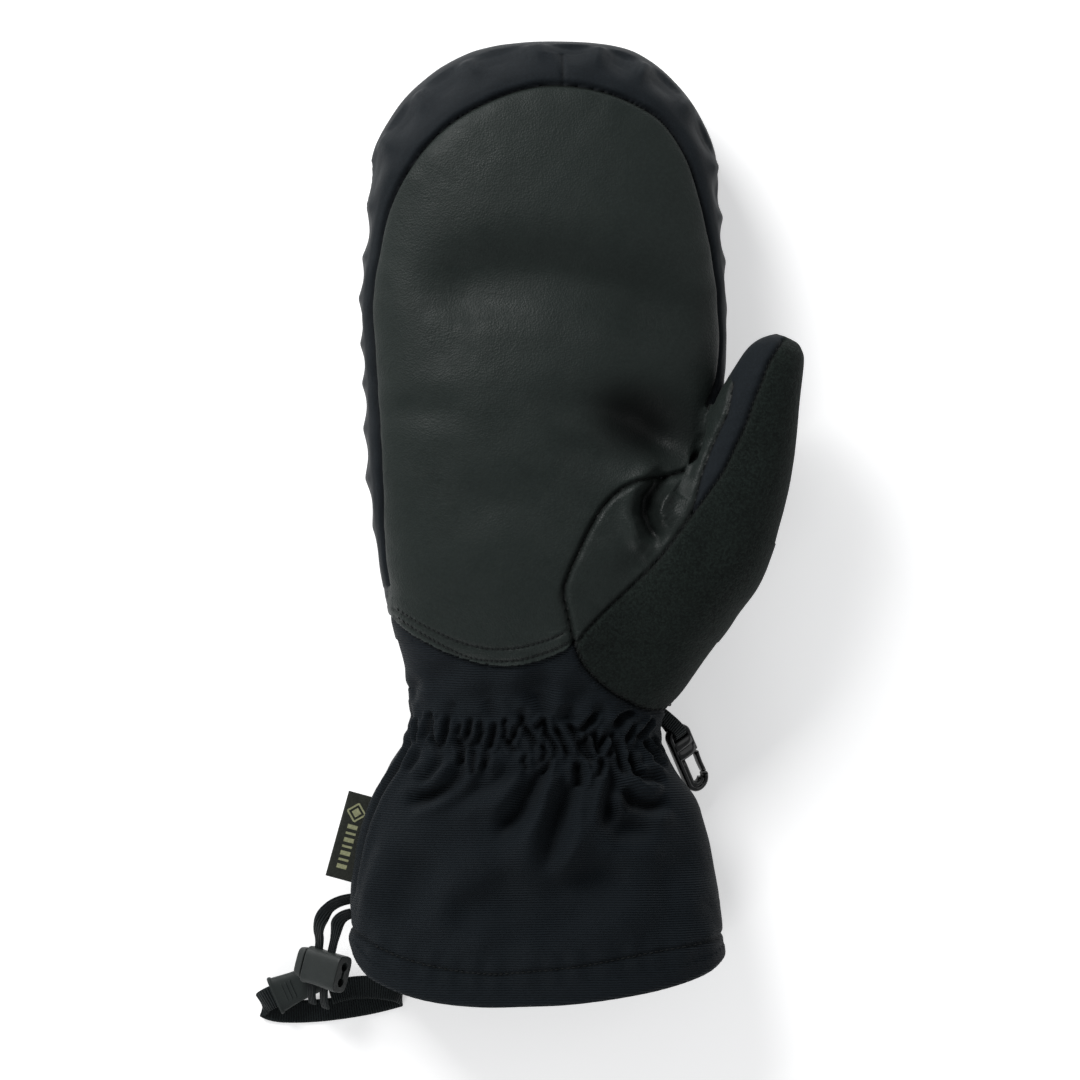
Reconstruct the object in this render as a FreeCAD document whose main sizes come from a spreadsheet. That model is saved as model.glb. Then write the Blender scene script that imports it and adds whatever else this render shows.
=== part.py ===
"""Right-hand ski mitten, lying on its back with the palm up.

Row frame, millimetres: +Z up (out of the palm), +Y towards the finger tip, +X towards the thumb. The origin is on the
surface that the mitten lies on. The outer hull is one lofted form from the hem of the gauntlet to the finger tip, and
a second loft for the thumb. Every layer (shell, waterproof insert, insulation, lining) is the space between two insets
of those hulls, and the shell layer is divided along its seams into the sewn panels.
"""
import FreeCAD, Part
import math
import os

V = FreeCAD.Vector
os.makedirs("parts", exist_ok=True)
doc = FreeCAD.newDocument("ski_mitten")

# ----------------------------------------------------------------- driving dimensions
sheet = doc.addObject("Spreadsheet::Sheet", "sizes")
SIZES = [
    ("unit_k", 0.345), ("mid_u", 566.5), ("mid_v", 521.0),
    ("shell_thk", 1.0), ("insert_in", 1.3), ("insert_thk", 0.5), ("fill_in", 2.1), ("fill_thk", 5.9),
    ("lining_in", 8.3), ("lining_thk", 1.2), ("cuff_lining_in", 2.6), ("cuff_lining_thk", 1.0),
    ("thumb_fill_thk", 2.5), ("thumb_lining_thk", 0.9), ("flat_drop", 3.0), ("seam_side", 20.0), ("fill_split", 30.0),
    ("wrist_y", -73.0), ("wrist_z", 24.0), ("wrist_rad", 21.6), ("wrist_gap", 0.6),
    ("knuckle_at", 69.0), ("knuckle_z", 38.7), ("knuckle_rad", 20.2), ("knuckle_gap", 0.6), ("thumb_clear", 4.0),
    ("elastic_w", 10.0), ("elastic_thk", 0.9), ("facing_w", 13.0), ("channel_w", 4.5),
    # cord lock
    ("lock_len", 14.5), ("lock_wid", 13.0), ("lock_thk", 8.5), ("lock_fillet", 1.6), ("lock_cav_len", 12.3),
    ("lock_cav_w", 6.4), ("lock_cav_h", 4.6), ("slot_w", 4.0), ("slot_h", 2.0), ("slot_one", -4.8), ("slot_two", 0.4),
    ("eye_rad", 1.5), ("eye_gap", 5.4), ("eye_neck", 1.6), ("plunger_len", 11.15), ("plunger_w", 6.0),
    ("plunger_h", 4.2), ("plunger_travel", 0.8), ("head_len", 2.0), ("head_w", 10.5), ("head_h", 6.9),
    ("spring_rad", 1.5), ("spring_wire", 0.4), ("spring_len", 1.65),
    # webbing and grip
    ("strand_w", 3.6), ("strand_thk", 1.2), ("web_w", 8.0), ("web_thk", 1.1), ("grip_len", 18.0), ("grip_w", 10.4),
    ("grip_end_w", 12.4), ("grip_thk", 4.8), ("grip_end_thk", 6.0), ("grip_slot_w", 8.6), ("grip_slot_h", 2.0), ("lip_len", 1.4), ("lip_out", 0.7),
    # glove clip
    ("clip_len", 27.0), ("clip_w", 9.4), ("clip_thk", 3.8), ("clip_wall", 1.8), ("clip_bar", 6.0), ("clip_eye_len", 3.2),
    ("gate_thk", 1.4), ("gate_len", 8.6), ("gate_gap", 0.4), ("tab_w", 5.0), ("tab_thk", 0.9),
    # labels
    ("label_len", 30.5), ("label_w", 9.6), ("label_thk", 0.8), ("care_len", 28.0), ("care_w", 14.0), ("care_thk", 0.5),
]
for i, (name, value) in enumerate(SIZES):
    cell = "B%d" % (i + 1)
    sheet.set("A%d" % (i + 1), name)
    sheet.set(cell, repr(value))
    sheet.setAlias(cell, name)
doc.recompute()


def S(name):
    return float(sheet.get(name))


K, U0, V0 = S("unit_k"), S("mid_u"), S("mid_v")


def px(u, v):
    """Pattern grid units to millimetres in the row frame."""
    return ((u - U0) * K, (V0 - v) * K)


def lerp_table(table, t):
    if t <= table[0][0]:
        return list(table[0][1:])
    for a, b in zip(table, table[1:]):
        if t <= b[0]:
            f = (t - a[0]) / (b[0] - a[0])
            return [p + (q - p) * f for p, q in zip(a[1:], b[1:])]
    return list(table[-1][1:])


# ----------------------------------------------------------------- main hull: v, left u, right u, z low, z high, roundness
D = -S("flat_drop")
HULL = [
    (1012, 352, 724, D, 52.0, 2.5),
    (960, 348, 726, D, 52.0, 2.5),
    (905, 351, 721, D, 51.0, 2.5),
    (850, 359, 713, D, 50.0, 2.4),
    (800, 373, 698, D + 1, 48.0, 2.4),
    (765, 390, 673, D + 3, 46.0, 2.3),
    (735, 408, 660, 2.4, 45.2, 2.2),
    (712, 410, 664, 2.6, 45.6, 2.2),
    (675, 406, 684, 0.0, 50.0, 2.3),
    (630, 395, 700, D, 54.5, 2.4),
    (560, 382, 712, D, 58.0, 2.4),
    (470, 368, 718, D, 59.0, 2.4),
    (380, 366, 722, D, 58.0, 2.4),
    (300, 361, 725, D, 56.5, 2.4),
    (220, 369, 720, D, 54.0, 2.4),
    (160, 373, 716, D, 51.0, 2.35),
    (110, 396, 696, D + 1.5, 48.0, 2.3),
    (80, 423, 672, D + 4.0, 45.0, 2.25),
    (60, 453, 648, 4.5, 41.5, 2.2),
    (48, 488, 622, 9.5, 37.0, 2.15),
    (43.5, 520, 592, 15.0, 31.0, 2.1),
]
CAP_V = 220.0
N = 20


def ring(c, a, zc, b, n, place):
    pts = []
    for k in range(N):
        t = 2 * math.pi * (k + 0.5) / N
        ct, st = math.cos(t), math.sin(t)
        x = c + a * math.copysign(abs(ct) ** (2.0 / n), ct)
        z = zc + b * math.copysign(abs(st) ** (2.0 / n), st)
        pts.append(place(x, z))
    curve = Part.BSplineCurve()
    curve.interpolate(Points=pts, PeriodicFlag=True)
    return Part.Wire([curve.toShape()])


def cut(a, *rest):
    out = a
    for b in rest:
        out = out.copy().cut(b.copy())
    return out


def both(a, *rest):
    out = a
    for b in rest:
        out = out.copy().common(b.copy())
    return out


def join(a, b):
    return a.copy().fuse(b.copy())


def halve(a, tool):
    """The part of a inside the tool and the part outside it; the two volumes must add up."""
    i, o = both(a, tool), cut(a, tool)
    if abs(i.Volume + o.Volume - a.Volume) > 0.01 * a.Volume + 2:
        print("UNEVEN split", round(a.Volume, 1), round(i.Volume, 1), round(o.Volume, 1))
    return i, o


def big(x0, x1, y0, y1, z0, z1):
    return Part.makeBox(x1 - x0, y1 - y0, z1 - z0, V(x0, y0, z0))


def hull(inset, flat=None):
    """The main hull, moved inwards by inset; flat is the height of the face that it lies on."""
    ref = lerp_table([(t[0],) + tuple(t[1:]) for t in reversed(HULL)], CAP_V)
    A = (ref[1] - ref[0]) * K / 2
    B = (ref[3] - ref[2]) / 2
    y_ref = (V0 - CAP_V) * K
    f, g = (A - inset) / A, (B - inset) / B
    zm = (ref[3] + ref[2]) / 2
    wires = []
    for v, lu, ru, zl, zh, n in HULL:
        x0, x1, y = (lu - U0) * K, (ru - U0) * K, (V0 - v) * K
        c, a, zc, b = (x0 + x1) / 2, (x1 - x0) / 2, (zl + zh) / 2, (zh - zl) / 2
        if v < CAP_V:
            c0 = ((ref[0] + ref[1]) / 2 - U0) * K
            y = y_ref + (y - y_ref) * f
            c, a, b, zc = c0 + (c - c0) * f, a * f, b * g, zm + (zc - zm) * g
        else:
            a, b = a - inset, b - inset
        wires.append(ring(c, a, zc, b, n, lambda x, z, y=y: V(x, y, z)))
    solid = Part.makeLoft(wires, True, True, False)
    z0 = max(inset, 0.0) if flat is None else flat
    return solid.common(big(-150, 150, -200, 200, z0, 120))


# ----------------------------------------------------------------- thumb hull: along the thumb, inner edge, outer edge, z low, z high
WX, WY = 0.437, 0.8995  # the thumb's direction in the row frame
BX, BY = px(625, 665)
THUMB = [
    (-14, -30, 60, 7.0, 44.0),
    (10, -62, 65, 4.0, 49.0),
    (45, -80, 69, 2.5, 53.0),
    (95, -80, 78, 3.5, 57.5),
    (140, -68, 84, 9.0, 58.5),
    (188, -46, 78, 18.0, 58.0),
    (230, -38, 69, 23.0, 58.0),
    (275, -37, 54, 26.5, 58.5),
    (310, -33, 41, 29.5, 58.5),
    (335, -30, 32, 32.0, 57.5),
    (352, -21, 25, 35.5, 54.5),
    (361, -9, 15, 40.0, 50.0),
]
CAP_S = 310.0


def thumb_place(s, q, z):
    return V(BX + WX * s + WY * q, BY + WY * s - WX * q, z)


def thumb(inset):
    ref = lerp_table(THUMB, CAP_S)
    A, B = (ref[1] - ref[0]) * K / 2, (ref[3] - ref[2]) / 2
    f, g = (A - inset) / A, (B - inset) / B
    wires = []
    for i, (s, q0, q1, zl, zh) in enumerate(THUMB):
        sm, c, a = s * K, (q0 + q1) * K / 2, (q1 - q0) * K / 2
        zc, b = (zl + zh) / 2, (zh - zl) / 2
        if s > CAP_S:
            c0, z0 = (ref[0] + ref[1]) * K / 2, (ref[2] + ref[3]) / 2
            sm = CAP_S * K + (s - CAP_S) * K - inset * min(1.0, (s - CAP_S) / 40.0)
            c, a, b, zc = c0 + (c - c0) * f, a * f, b * g, z0 + (zc - z0) * g
        else:
            a, b = a - inset, b - inset
            if i == 0:
                sm += inset
        wires.append(ring(c, a, zc, b, 2.2, lambda q, z, sm=sm: thumb_place(sm, q, z)))
    return Part.makeLoft(wires, True, True, False)


# ----------------------------------------------------------------- seam lines as upright prisms
def prism(points, z0=-20.0, z1=120.0, smooth=False):
    pts = [V(*px(*p), z0) for p in points]
    edges = []
    for a, b in zip(pts, pts[1:] + pts[:1]):
        edges.append(Part.LineSegment(a, b).toShape())
    return Part.Face(Part.Wire(edges)).extrude(V(0, 0, z1 - z0))


def spline_prism(curved, straight, z0=-20.0, z1=120.0):
    """A prism bounded by one smooth seam line and closed by straight edges far outside the hull."""
    pts = [V(*px(*p), z0) for p in curved]
    c = Part.BSplineCurve()
    c.interpolate(Points=pts)
    edges = [c.toShape()]
    rest = [pts[-1]] + [V(*px(*p), z0) for p in straight] + [pts[0]]
    for a, b in zip(rest, rest[1:]):
        edges.append(Part.LineSegment(a, b).toShape())
    return Part.Face(Part.Wire(edges)).extrude(V(0, 0, z1 - z0))


PALM_TOP = [(391, 583), (385, 530), (382, 440), (377, 363), (373, 304), (380, 253), (392, 207), (416, 166),
            (447, 132), (490, 106), (538, 91), (586, 93), (629, 106), (664, 128), (688, 166), (704, 218), (715, 277),
            (719, 336), (715, 379), (707, 406), (703, 440), (690, 466), (664, 478)]
GUSSET = [(664, 478), (642, 480.5), (624, 487), (605, 503), (590, 526), (578, 551), (568, 573), (563, 592), (568, 616), (573, 640)]
PALM_LOW = [(573, 640), (562, 648), (546, 656), (527, 661), (506, 663.4), (479, 660.7), (455, 653), (431, 642), (409, 629), (391, 612)]
OUTER_SEAM = [(578, 637), (592, 621), (611, 602), (629, 586), (648, 567), (664, 549), (678, 530), (688, 516), (703, 496),
              (719, 473), (731, 448), (741, 427), (749, 404), (757, 384), (764, 366), (779, 343)]
SIDE_SEAM = [(688, 516), (693, 499), (698, 478), (706, 455), (716, 432), (724, 414), (729, 386)]
THUMB_LOW = [(573, 641), (581, 661), (594, 677), (611, 691), (624, 699), (640, 707), (659, 711), (675, 706)]
HEM = [(346, 940), (351, 953), (361, 966), (377, 978), (409, 990), (445, 997), (485, 1000), (532, 999), (572, 997), (621, 991), (664, 983), (704, 971), (726, 958)]


def clean(shape):
    solids = [x for x in shape.Solids if x.Volume > 4.0]
    return solids[0] if len(solids) == 1 else Part.makeCompound(solids)


made = {}


def keep(name, shape):
    shape = clean(shape)
    o = doc.addObject("Part::Feature", name)
    o.Label = name
    o.Shape = shape
    made[name] = o
    return o


import time
T0 = time.time()


def tick(what):
    print("%6.1f s  %s" % (time.time() - T0, what))


sh, fi, li = S("shell_thk"), S("fill_in"), S("lining_in")
INSETS = {"o": 0.0, "shell_in": sh, "ins_out": S("insert_in"), "ins_in": S("insert_in") + S("insert_thk"), "fill_out": fi,
          "fill_in": fi + S("fill_thk"), "lin_out": li, "lin_in": li + S("lining_thk"),
          "cl_out": S("cuff_lining_in"), "cl_in": S("cuff_lining_in") + S("cuff_lining_thk")}
O = {k: hull(v) for k, v in INSETS.items()}
TIN = dict(INSETS)
TIN["fill_in"] = fi + S("thumb_fill_thk")
TIN["lin_out"] = TIN["fill_in"] + 0.3
TIN["lin_in"] = TIN["lin_out"] + S("thumb_lining_thk")
T = {k: thumb(TIN[k]) for k in ("o", "shell_in", "ins_out", "ins_in", "fill_out", "fill_in", "lin_out", "lin_in")}
tick("hulls")

# regions
wy, wz, wr, wg = S("wrist_y"), S("wrist_z"), S("wrist_rad"), S("wrist_gap")


def x_cyl(r):
    return Part.makeCylinder(r, 300, V(-150, wy, wz), V(1, 0, 0))


above = big(-150, 150, wy, 200, -30, 130)
below = big(-150, 150, -220, wy, -30, 130)
HAND_REGION = cut(above, x_cyl(wr + wg))
CUFF_REGION = join(below, x_cyl(wr))

kn, kz, kr, kg = S("knuckle_at"), S("knuckle_z"), S("knuckle_rad"), S("knuckle_gap")
AX = V(WY, -WX, 0)  # the thumb hinge's direction: across the thumb, in the plane of the palm
HX, HY = BX + WX * kn, BY + WY * kn


def q_cyl(r, q0=-60.0, q1=60.0):
    return Part.makeCylinder(r, q1 - q0, V(HX + AX.x * q0, HY + AX.y * q0, kz), AX)


def along_box(s0, s1, q0=-80.0, q1=80.0, z0=-30.0, z1=130.0):
    a = [thumb_place(s0, q0, z0), thumb_place(s1, q0, z0), thumb_place(s1, q1, z0), thumb_place(s0, q1, z0)]
    return Part.Face(Part.makePolygon(a + [a[0]])).extrude(V(0, 0, z1 - z0))


Q_C = -9.0  # inside this line the hand keeps the space, outside it the thumb does
FREE = join(along_box(kn, 220), q_cyl(kr))
BASE = cut(along_box(-60, kn), q_cyl(kr + kg, Q_C, 60))
GUARD = hull(-S("thumb_clear"), flat=-25.0)
FREE_T = cut(FREE, GUARD, along_box(kn - 40, kn + kr + 2, -80, Q_C + 0.6))
KNUCKLE = q_cyl(kr + kg, Q_C, 60)  # the hand keeps clear of the thumb's knuckle on the thumb's side of the line
tick("regions")


def hand_layer(a, b):
    """One layer of the hand's part: wall of the main hull with the thumb's opening, and the thumb's base."""
    wall = cut(both(O[a], HAND_REGION), O[b], both(T[b], BASE))
    base = cut(both(T[a], BASE, HAND_REGION), T[b], O[a])
    return cut(wall, KNUCKLE), cut(base, KNUCKLE)


def free_layer(a, b):
    return cut(both(T[a], FREE_T), T[b])


def divide(parts, tool):
    """Split every solid of a layer by a seam; the pieces inside and outside."""
    inside, outside = [], []
    for q in parts:
        i, o = halve(q, tool)
        inside += [x for x in i.Solids if x.Volume > 4.0]
        outside += [x for x in o.Solids if x.Volume > 4.0]
    return inside, outside


def put(name, parts):
    keep(name, Part.makeCompound(parts))


top, back = divide(hand_layer("o", "shell_in"), big(-150, 150, -200, 200, S("seam_side"), 130))
tick("hand shell")
put("back_hand_panel", back)
P_PALM = prism(PALM_TOP + GUSSET[1:] + PALM_LOW[1:], z0=S("seam_side") + 10)
P_GUSSET = prism(GUSSET[::-1] + [(690, 466), (707, 445), (720, 440), (731, 448)] + OUTER_SEAM[:10][::-1])
P_SUEDE = prism(OUTER_SEAM[:12] + [(900, 400), (900, 720), (680, 712)] + THUMB_LOW[::-1][1:])
P_HEEL = prism([(300, 612)] + PALM_LOW[::-1][:-1] + THUMB_LOW + [(900, 720), (900, 900), (300, 900)])
palm, top = divide(top, P_PALM)
put("palm_panel", palm)
gus, top = divide(top, P_GUSSET)
put("thumb_gusset", gus)
sue, top = divide(top, P_SUEDE)
put("thumb_base_panel", sue)
heel, top = divide(top, P_HEEL)
put("heel_panel", heel)
band_l, band_r = divide(top, prism([(200, 0), (562, 0), (562, 300), (520, 900), (200, 900)]))
put("side_band_outer", band_l)
put("side_band_inner", band_r)
tick("hand panels")

# free part of the thumb
tf = free_layer("o", "shell_in")
RIGHT = prism(OUTER_SEAM[6:] + [(790, 300), (950, 300), (950, 720), (640, 620)])
LEATHER = prism([(688, 516), (693, 499), (698, 478), (706, 455), (716, 432), (724, 414), (729, 386), (725, 370), (560, 420), (560, 620)],
                z0=kz)
outer, lf = halve(tf, RIGHT)
keep("thumb_outer_panel", outer)
inner, side = halve(lf, LEATHER)
keep("thumb_inner_panel", inner)
keep("thumb_side_panel", side)
tick("thumb panels")

# layers inside the hand
put("waterproof_insert", list(hand_layer("ins_out", "ins_in")))
keep("waterproof_insert_thumb", free_layer("ins_out", "ins_in"))
tick("insert")
fill = hand_layer("fill_out", "fill_in")
f_palm, f_back = divide(fill, big(-150, 150, -200, 200, S("fill_split"), 130))
put("insulation_palm", f_palm)
put("insulation_back", f_back)
keep("insulation_thumb", free_layer("fill_out", "fill_in"))
tick("fill")
put("lining_hand", list(hand_layer("lin_out", "lin_in")))
keep("lining_thumb", free_layer("lin_out", "lin_in"))
tick("lining")

# gauntlet
HEM_CUT = spline_prism([(330, 915)] + HEM + [(760, 935)], [(760, 600), (330, 600)])


def hem_shift(up):
    m = HEM_CUT.copy()
    m.translate(V(0, up, 0))
    return m


cuff_shell = cut(both(O["o"], CUFF_REGION, HEM_CUT), O["shell_in"])
front, rear = halve(cuff_shell, big(-150, 150, -200, 200, S("seam_side"), 130))
keep("gauntlet_front", front)
keep("gauntlet_back", rear)
cl = cut(both(O["cl_out"], CUFF_REGION), O["cl_in"])
keep("gauntlet_lining", both(cl, hem_shift(S("facing_w") + 0.4)))
keep("hem_facing", cut(both(cl, hem_shift(0.6)), hem_shift(S("facing_w"))))
thin_out, thin_in = hull(1.3), hull(1.3 + S("elastic_thk"))
band = cut(thin_out, thin_in)
keep("wrist_elastic", both(band, big(-150, 150, wy - 6 - S("elastic_w"), wy - 6, -30, 130)))
keep("hem_drawcord", cut(both(band, hem_shift(3.5)), hem_shift(3.5 + S("channel_w"))))
tick("gauntlet")


# ----------------------------------------------------------------- flat webbing: straight runs joined by tangent arcs
def rounded(points, step=1.2):
    """Centreline samples of a route of straight runs whose corners are tangent arcs, with a share for each sample."""
    P = [V(*p) for p in points]
    out = [(P[0], 0.0)]
    for i in range(1, len(P) - 1):
        a, b, c = P[i - 1], P[i], P[i + 1]
        d0, d1 = (b - a), (c - b)
        l0, l1 = d0.Length, d1.Length
        d0, d1 = d0 / l0, d1 / l1
        turn = math.acos(max(-1, min(1, d0.dot(d1))))
        cut = 0.45 * min(l0, l1)
        r = cut / math.tan(turn / 2) if turn > 1e-3 else 999
        RADII.append(round(r, 1))
        n = max(2, int(math.ceil(r * turn / step))) if turn > 1e-3 else 1
        start, end = b - d0 * cut, b + d1 * cut
        axis = d0.cross(d1)
        if turn < 1e-3:
            out.append((b, float(i)))
            continue
        axis.normalize()
        inward = axis.cross(d0)
        centre = start + inward * r
        for k in range(n + 1):
            t = turn * k / n
            p = centre - inward * (r * math.cos(t)) + d0 * (r * math.sin(t))
            out.append((p, i - 0.45 + 0.9 * k / n))
    out.append((P[-1], float(len(P) - 1)))
    return out


RADII = []


def ribbon(points, across, width, thick, level=False):
    """A flat strip that follows a route; across holds the width direction at each route point."""
    samples = rounded(points)
    rings, length = [], 0.0
    for j, (p, t) in enumerate(samples):
        i = min(int(t), len(points) - 2)
        f = t - i
        w = V(*across[i]) * (1 - f) + V(*across[i + 1]) * f
        a = samples[max(j - 1, 0)][0]
        b = samples[min(j + 1, len(samples) - 1)][0]
        tan = (b - a)
        tan.normalize()
        w = w - tan * w.dot(tan)
        if level:
            w.z = 0.0
        w.normalize()
        n = tan.cross(w)
        n.normalize()
        w, n = w * (width / 2), n * (thick / 2)
        rings.append([p + w + n, p - w + n, p - w - n, p + w - n])
        if j:
            length += (p - samples[j - 1][0]).Length
    faces = []

    def tri(a, b, c):
        if (b - a).cross(c - a).Length > 1e-5:
            faces.append(Part.Face(Part.makePolygon([a, b, c, a])))

    for r0, r1 in zip(rings, rings[1:]):
        for k in range(4):
            m = (k + 1) % 4
            tri(r0[k], r0[m], r1[m])
            tri(r0[k], r1[m], r1[k])
    for r in (rings[0], rings[-1]):
        tri(r[0], r[1], r[2])
        tri(r[0], r[2], r[3])
    shell = Part.makeShell(faces)
    shell.sewShape()
    solid = Part.makeSolid(shell if shell.ShapeType == "Shell" else shell.Shells[0])
    if solid.Volume < 0:
        solid.reverse()
    return solid, length


CX, CY = px(324.5, 973)
CZ = 16.5
LOCK_ROT = FreeCAD.Rotation(V(0, 0, 1), -14).multiply(FreeCAD.Rotation(V(0, 1, 0), -33))
LOCK_POS = FreeCAD.Placement(V(CX, CY, CZ), LOCK_ROT)


def at_lock(x, y, z):
    return tuple(LOCK_POS.multVec(V(x, y, z)))


ACROSS_LOCK = tuple(LOCK_ROT.multVec(V(1, 0, 0)))
s1, s2 = S("slot_one"), S("slot_two")
OUT_1, OUT_2 = (-74.2, -131.2, 17.0), (-74.6, -136.2, 19.0)
ROUTE_1 = [OUT_1, (-81.5, -132.0, 17.0), (-86.8, -140.8, 15.8), at_lock(s1, 8.0, 0), at_lock(s1, -8.6, 0), at_lock(s1 + 0.3, -13.2, -3.6)]
ROUTE_2 = [OUT_2, (-79.2, -137.2, 19.0), at_lock(s2, 12.0, 0), at_lock(s2, -9.2, 0), at_lock(s2 - 0.3, -13.4, -5.2)]
ACROSS_1 = [(0, -0.8, -0.6), (0.4, -0.7, -0.5), ACROSS_LOCK, ACROSS_LOCK, ACROSS_LOCK, ACROSS_LOCK]
ACROSS_2 = [(0, -0.8, -0.6), (0.5, -0.7, -0.3), ACROSS_LOCK, ACROSS_LOCK, ACROSS_LOCK]
r1, l1 = ribbon(ROUTE_1, ACROSS_1, S("strand_w"), S("strand_thk"))
keep("drawcord_strand_outer", r1)
r2, l2 = ribbon(ROUTE_2, ACROSS_2, S("strand_w"), S("strand_thk"))
keep("drawcord_strand_inner", r2)

# pull loop of grosgrain webbing: out of the grip, folded back, along the surface, folded over and back on itself
GX, GY = px(294.0, 993.0)
GDIR = V(-0.914, -0.405, 0)
GZ = 5.0


def at_grip(t, w=0.0, z=0.0):
    return (GX + GDIR.x * t - GDIR.y * w, GY + GDIR.y * t + GDIR.x * w, GZ + z)


GW = (0.405, -0.914, 0.0)
WEB_UV = [(268, 1020, 0.85), (291, 1021, 0.75), (318, 1019.5, 0.75), (345, 1016, 0.75), (370, 1011.5, 0.75), (391, 1006, 0.75),
          (399, 1003.5, 1.4), (399, 999.5, 4.2), (391, 997, 5.0), (376, 995, 4.4), (358, 994.5, 3.6), (340, 997, 3.0), (326, 1001.5, 2.7)]
WEB = [at_grip(-4), at_grip(5), at_grip(12.2), at_grip(14.8, w=0.9, z=-2.9)] + [px(u, v) + (z,) for u, v, z in WEB_UV]
ACR = [GW, GW, GW, (0.3, -0.95, 0.0), (0.1, -0.99, 0), (-0.05, -0.99, 0), (-0.1, -0.99, 0), (-0.2, -0.98, 0), (-0.25, -0.97, 0),
       (-0.3, -0.95, 0), (-0.25, -0.97, 0), (-0.1, -0.99, 0), (0.0, -1.0, 0), (0.1, -0.99, 0), (0.2, -0.98, 0), (0.28, -0.96, 0), (0.3, -0.95, 0)]
rw, lw = ribbon(WEB, ACR, S("web_w"), S("web_thk"), level=True)
keep("pull_web", rw)
print("ribbon lengths", round(l1, 1), round(l2, 1), round(lw, 1), "volume/section*length",
      round(r1.Volume / (l1 * S("strand_w") * S("strand_thk")), 3), round(rw.Volume / (lw * S("web_w") * S("web_thk")), 3), "radii", RADII)
tick("webbing")


# ----------------------------------------------------------------- hardware as PartDesign bodies
def plane(body, role):
    return next(f for f in body.Origin.OriginFeatures if f.Role == role)


def body(label):
    b = doc.addObject("PartDesign::Body", label)
    b.Label = label
    made[label] = b
    return b


def sketch(b, role, name):
    s = b.newObject("Sketcher::SketchObject", name)
    s.AttachmentSupport = (plane(b, role), [""])
    s.MapMode = "FlatFace"
    return s


import Sketcher

C = Sketcher.Constraint


def rect(sk, w, h, cx=None, cy=None):
    """A centred rectangle; w, h, cx and cy are sheet expressions."""
    i = sk.GeometryCount
    p = [V(-2, -1, 0), V(2, -1, 0), V(2, 1, 0), V(-2, 1, 0)]
    for a, b2 in zip(p, p[1:] + p[:1]):
        sk.addGeometry(Part.LineSegment(a, b2), False)
    for k in range(4):
        sk.addConstraint(C("Coincident", i + k, 2, i + (k + 1) % 4, 1))
    sk.addConstraint([C("Horizontal", i), C("Horizontal", i + 2), C("Vertical", i + 1), C("Vertical", i + 3)])
    n = sk.ConstraintCount
    sk.addConstraint(C("DistanceX", i, 1, i, 2, 4.0))
    sk.setExpression("Constraints[%d]" % n, w)
    sk.addConstraint(C("DistanceY", i + 1, 1, i + 1, 2, 2.0))
    sk.setExpression("Constraints[%d]" % (n + 1), h)
    # the rectangle's first corner from the sketch's origin
    sk.addConstraint(C("DistanceX", -1, 1, i, 1, -2.0))
    sk.setExpression("Constraints[%d]" % (n + 2), "-(%s) / 2 + (%s)" % (w, cx or "0"))
    sk.addConstraint(C("DistanceY", -1, 1, i, 1, -1.0))
    sk.setExpression("Constraints[%d]" % (n + 3), "-(%s) / 2 + (%s)" % (h, cy or "0"))


def pad(b, sk, length, name, mid=True):
    f = b.newObject("PartDesign::Pad", name)
    f.Profile = sk
    f.Midplane = mid
    f.setExpression("Length", length)
    return f


def pocket(b, sk, name, length=None, through=False, reverse=False, mid=False):
    f = b.newObject("PartDesign::Pocket", name)
    f.Profile = sk
    if through:
        f.Type = "ThroughAll"
        f.Midplane = True
    else:
        f.setExpression("Length", length)
        f.Midplane = mid
    f.Reversed = reverse
    return f


def fillet_edges(b, base, name, expr, pick):
    doc.recompute()
    f = b.newObject("PartDesign::Fillet", name)
    names = ["Edge%d" % (i + 1) for i, e in enumerate(base.Shape.Edges) if pick(e)]
    f.Base = (base, names)
    f.setExpression("Radius", expr)
    doc.recompute()
    return f


def volume(b):
    doc.recompute()
    return b.Shape.Volume


# cord lock housing: X is the plunger's way, Y the strands' way
b = body("cord_lock_housing")
sk = sketch(b, "YZ_Plane", "lock_outline")
rect(sk, "sizes.lock_wid", "sizes.lock_thk")
lp = pad(b, sk, "sizes.lock_len", "lock_block")
doc.recompute()
fillet_edges(b, lp, "lock_round", "sizes.lock_fillet", lambda e: abs(e.BoundBox.XLength) > 5)
v0 = volume(b)
sk = sketch(b, "XY_Plane", "lock_cavity_sketch")
rect(sk, "sizes.lock_cav_len", "sizes.lock_cav_w", "-(sizes.lock_len - sizes.lock_cav_len) / 2 - 0.01")
pocket(b, sk, "lock_cavity", "sizes.lock_cav_h", mid=True)
v1 = volume(b)
sk = sketch(b, "XZ_Plane", "lock_slots_sketch")
rect(sk, "sizes.slot_w", "sizes.slot_h", "sizes.slot_one")
rect(sk, "sizes.slot_w", "sizes.slot_h", "sizes.slot_two")
pocket(b, sk, "lock_slots", through=True)
v2 = volume(b)
sk = sketch(b, "YZ_Plane", "lock_eye_sketch")
for sgn in (-1, 1):
    n = sk.GeometryCount
    sk.addGeometry(Part.Circle(V(sgn * 2.7, 0, 0), V(0, 0, 1), 1.5), False)
    m = sk.ConstraintCount
    sk.addConstraint(C("Radius", n, 1.5))
    sk.setExpression("Constraints[%d]" % m, "sizes.eye_rad")
    sk.addConstraint(C("DistanceX", -1, 1, n, 3, sgn * 2.7))
    sk.setExpression("Constraints[%d]" % (m + 1), "%d * sizes.eye_gap / 2" % sgn)
    sk.addConstraint(C("DistanceY", -1, 1, n, 3, 0.0))
eye = b.newObject("PartDesign::Pocket", "lock_eyes")
eye.Profile = sk
eye.Reversed = True
eye.setExpression("Length", "sizes.lock_len / 2 + 1")
v3 = volume(b)
sk = sketch(b, "YZ_Plane", "lock_neck_sketch")
rect(sk, "sizes.eye_gap", "sizes.eye_neck")
neck = b.newObject("PartDesign::Pocket", "lock_neck")
neck.Profile = sk
neck.Reversed = True
neck.setExpression("Length", "sizes.lock_len / 2 + 1")
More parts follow.
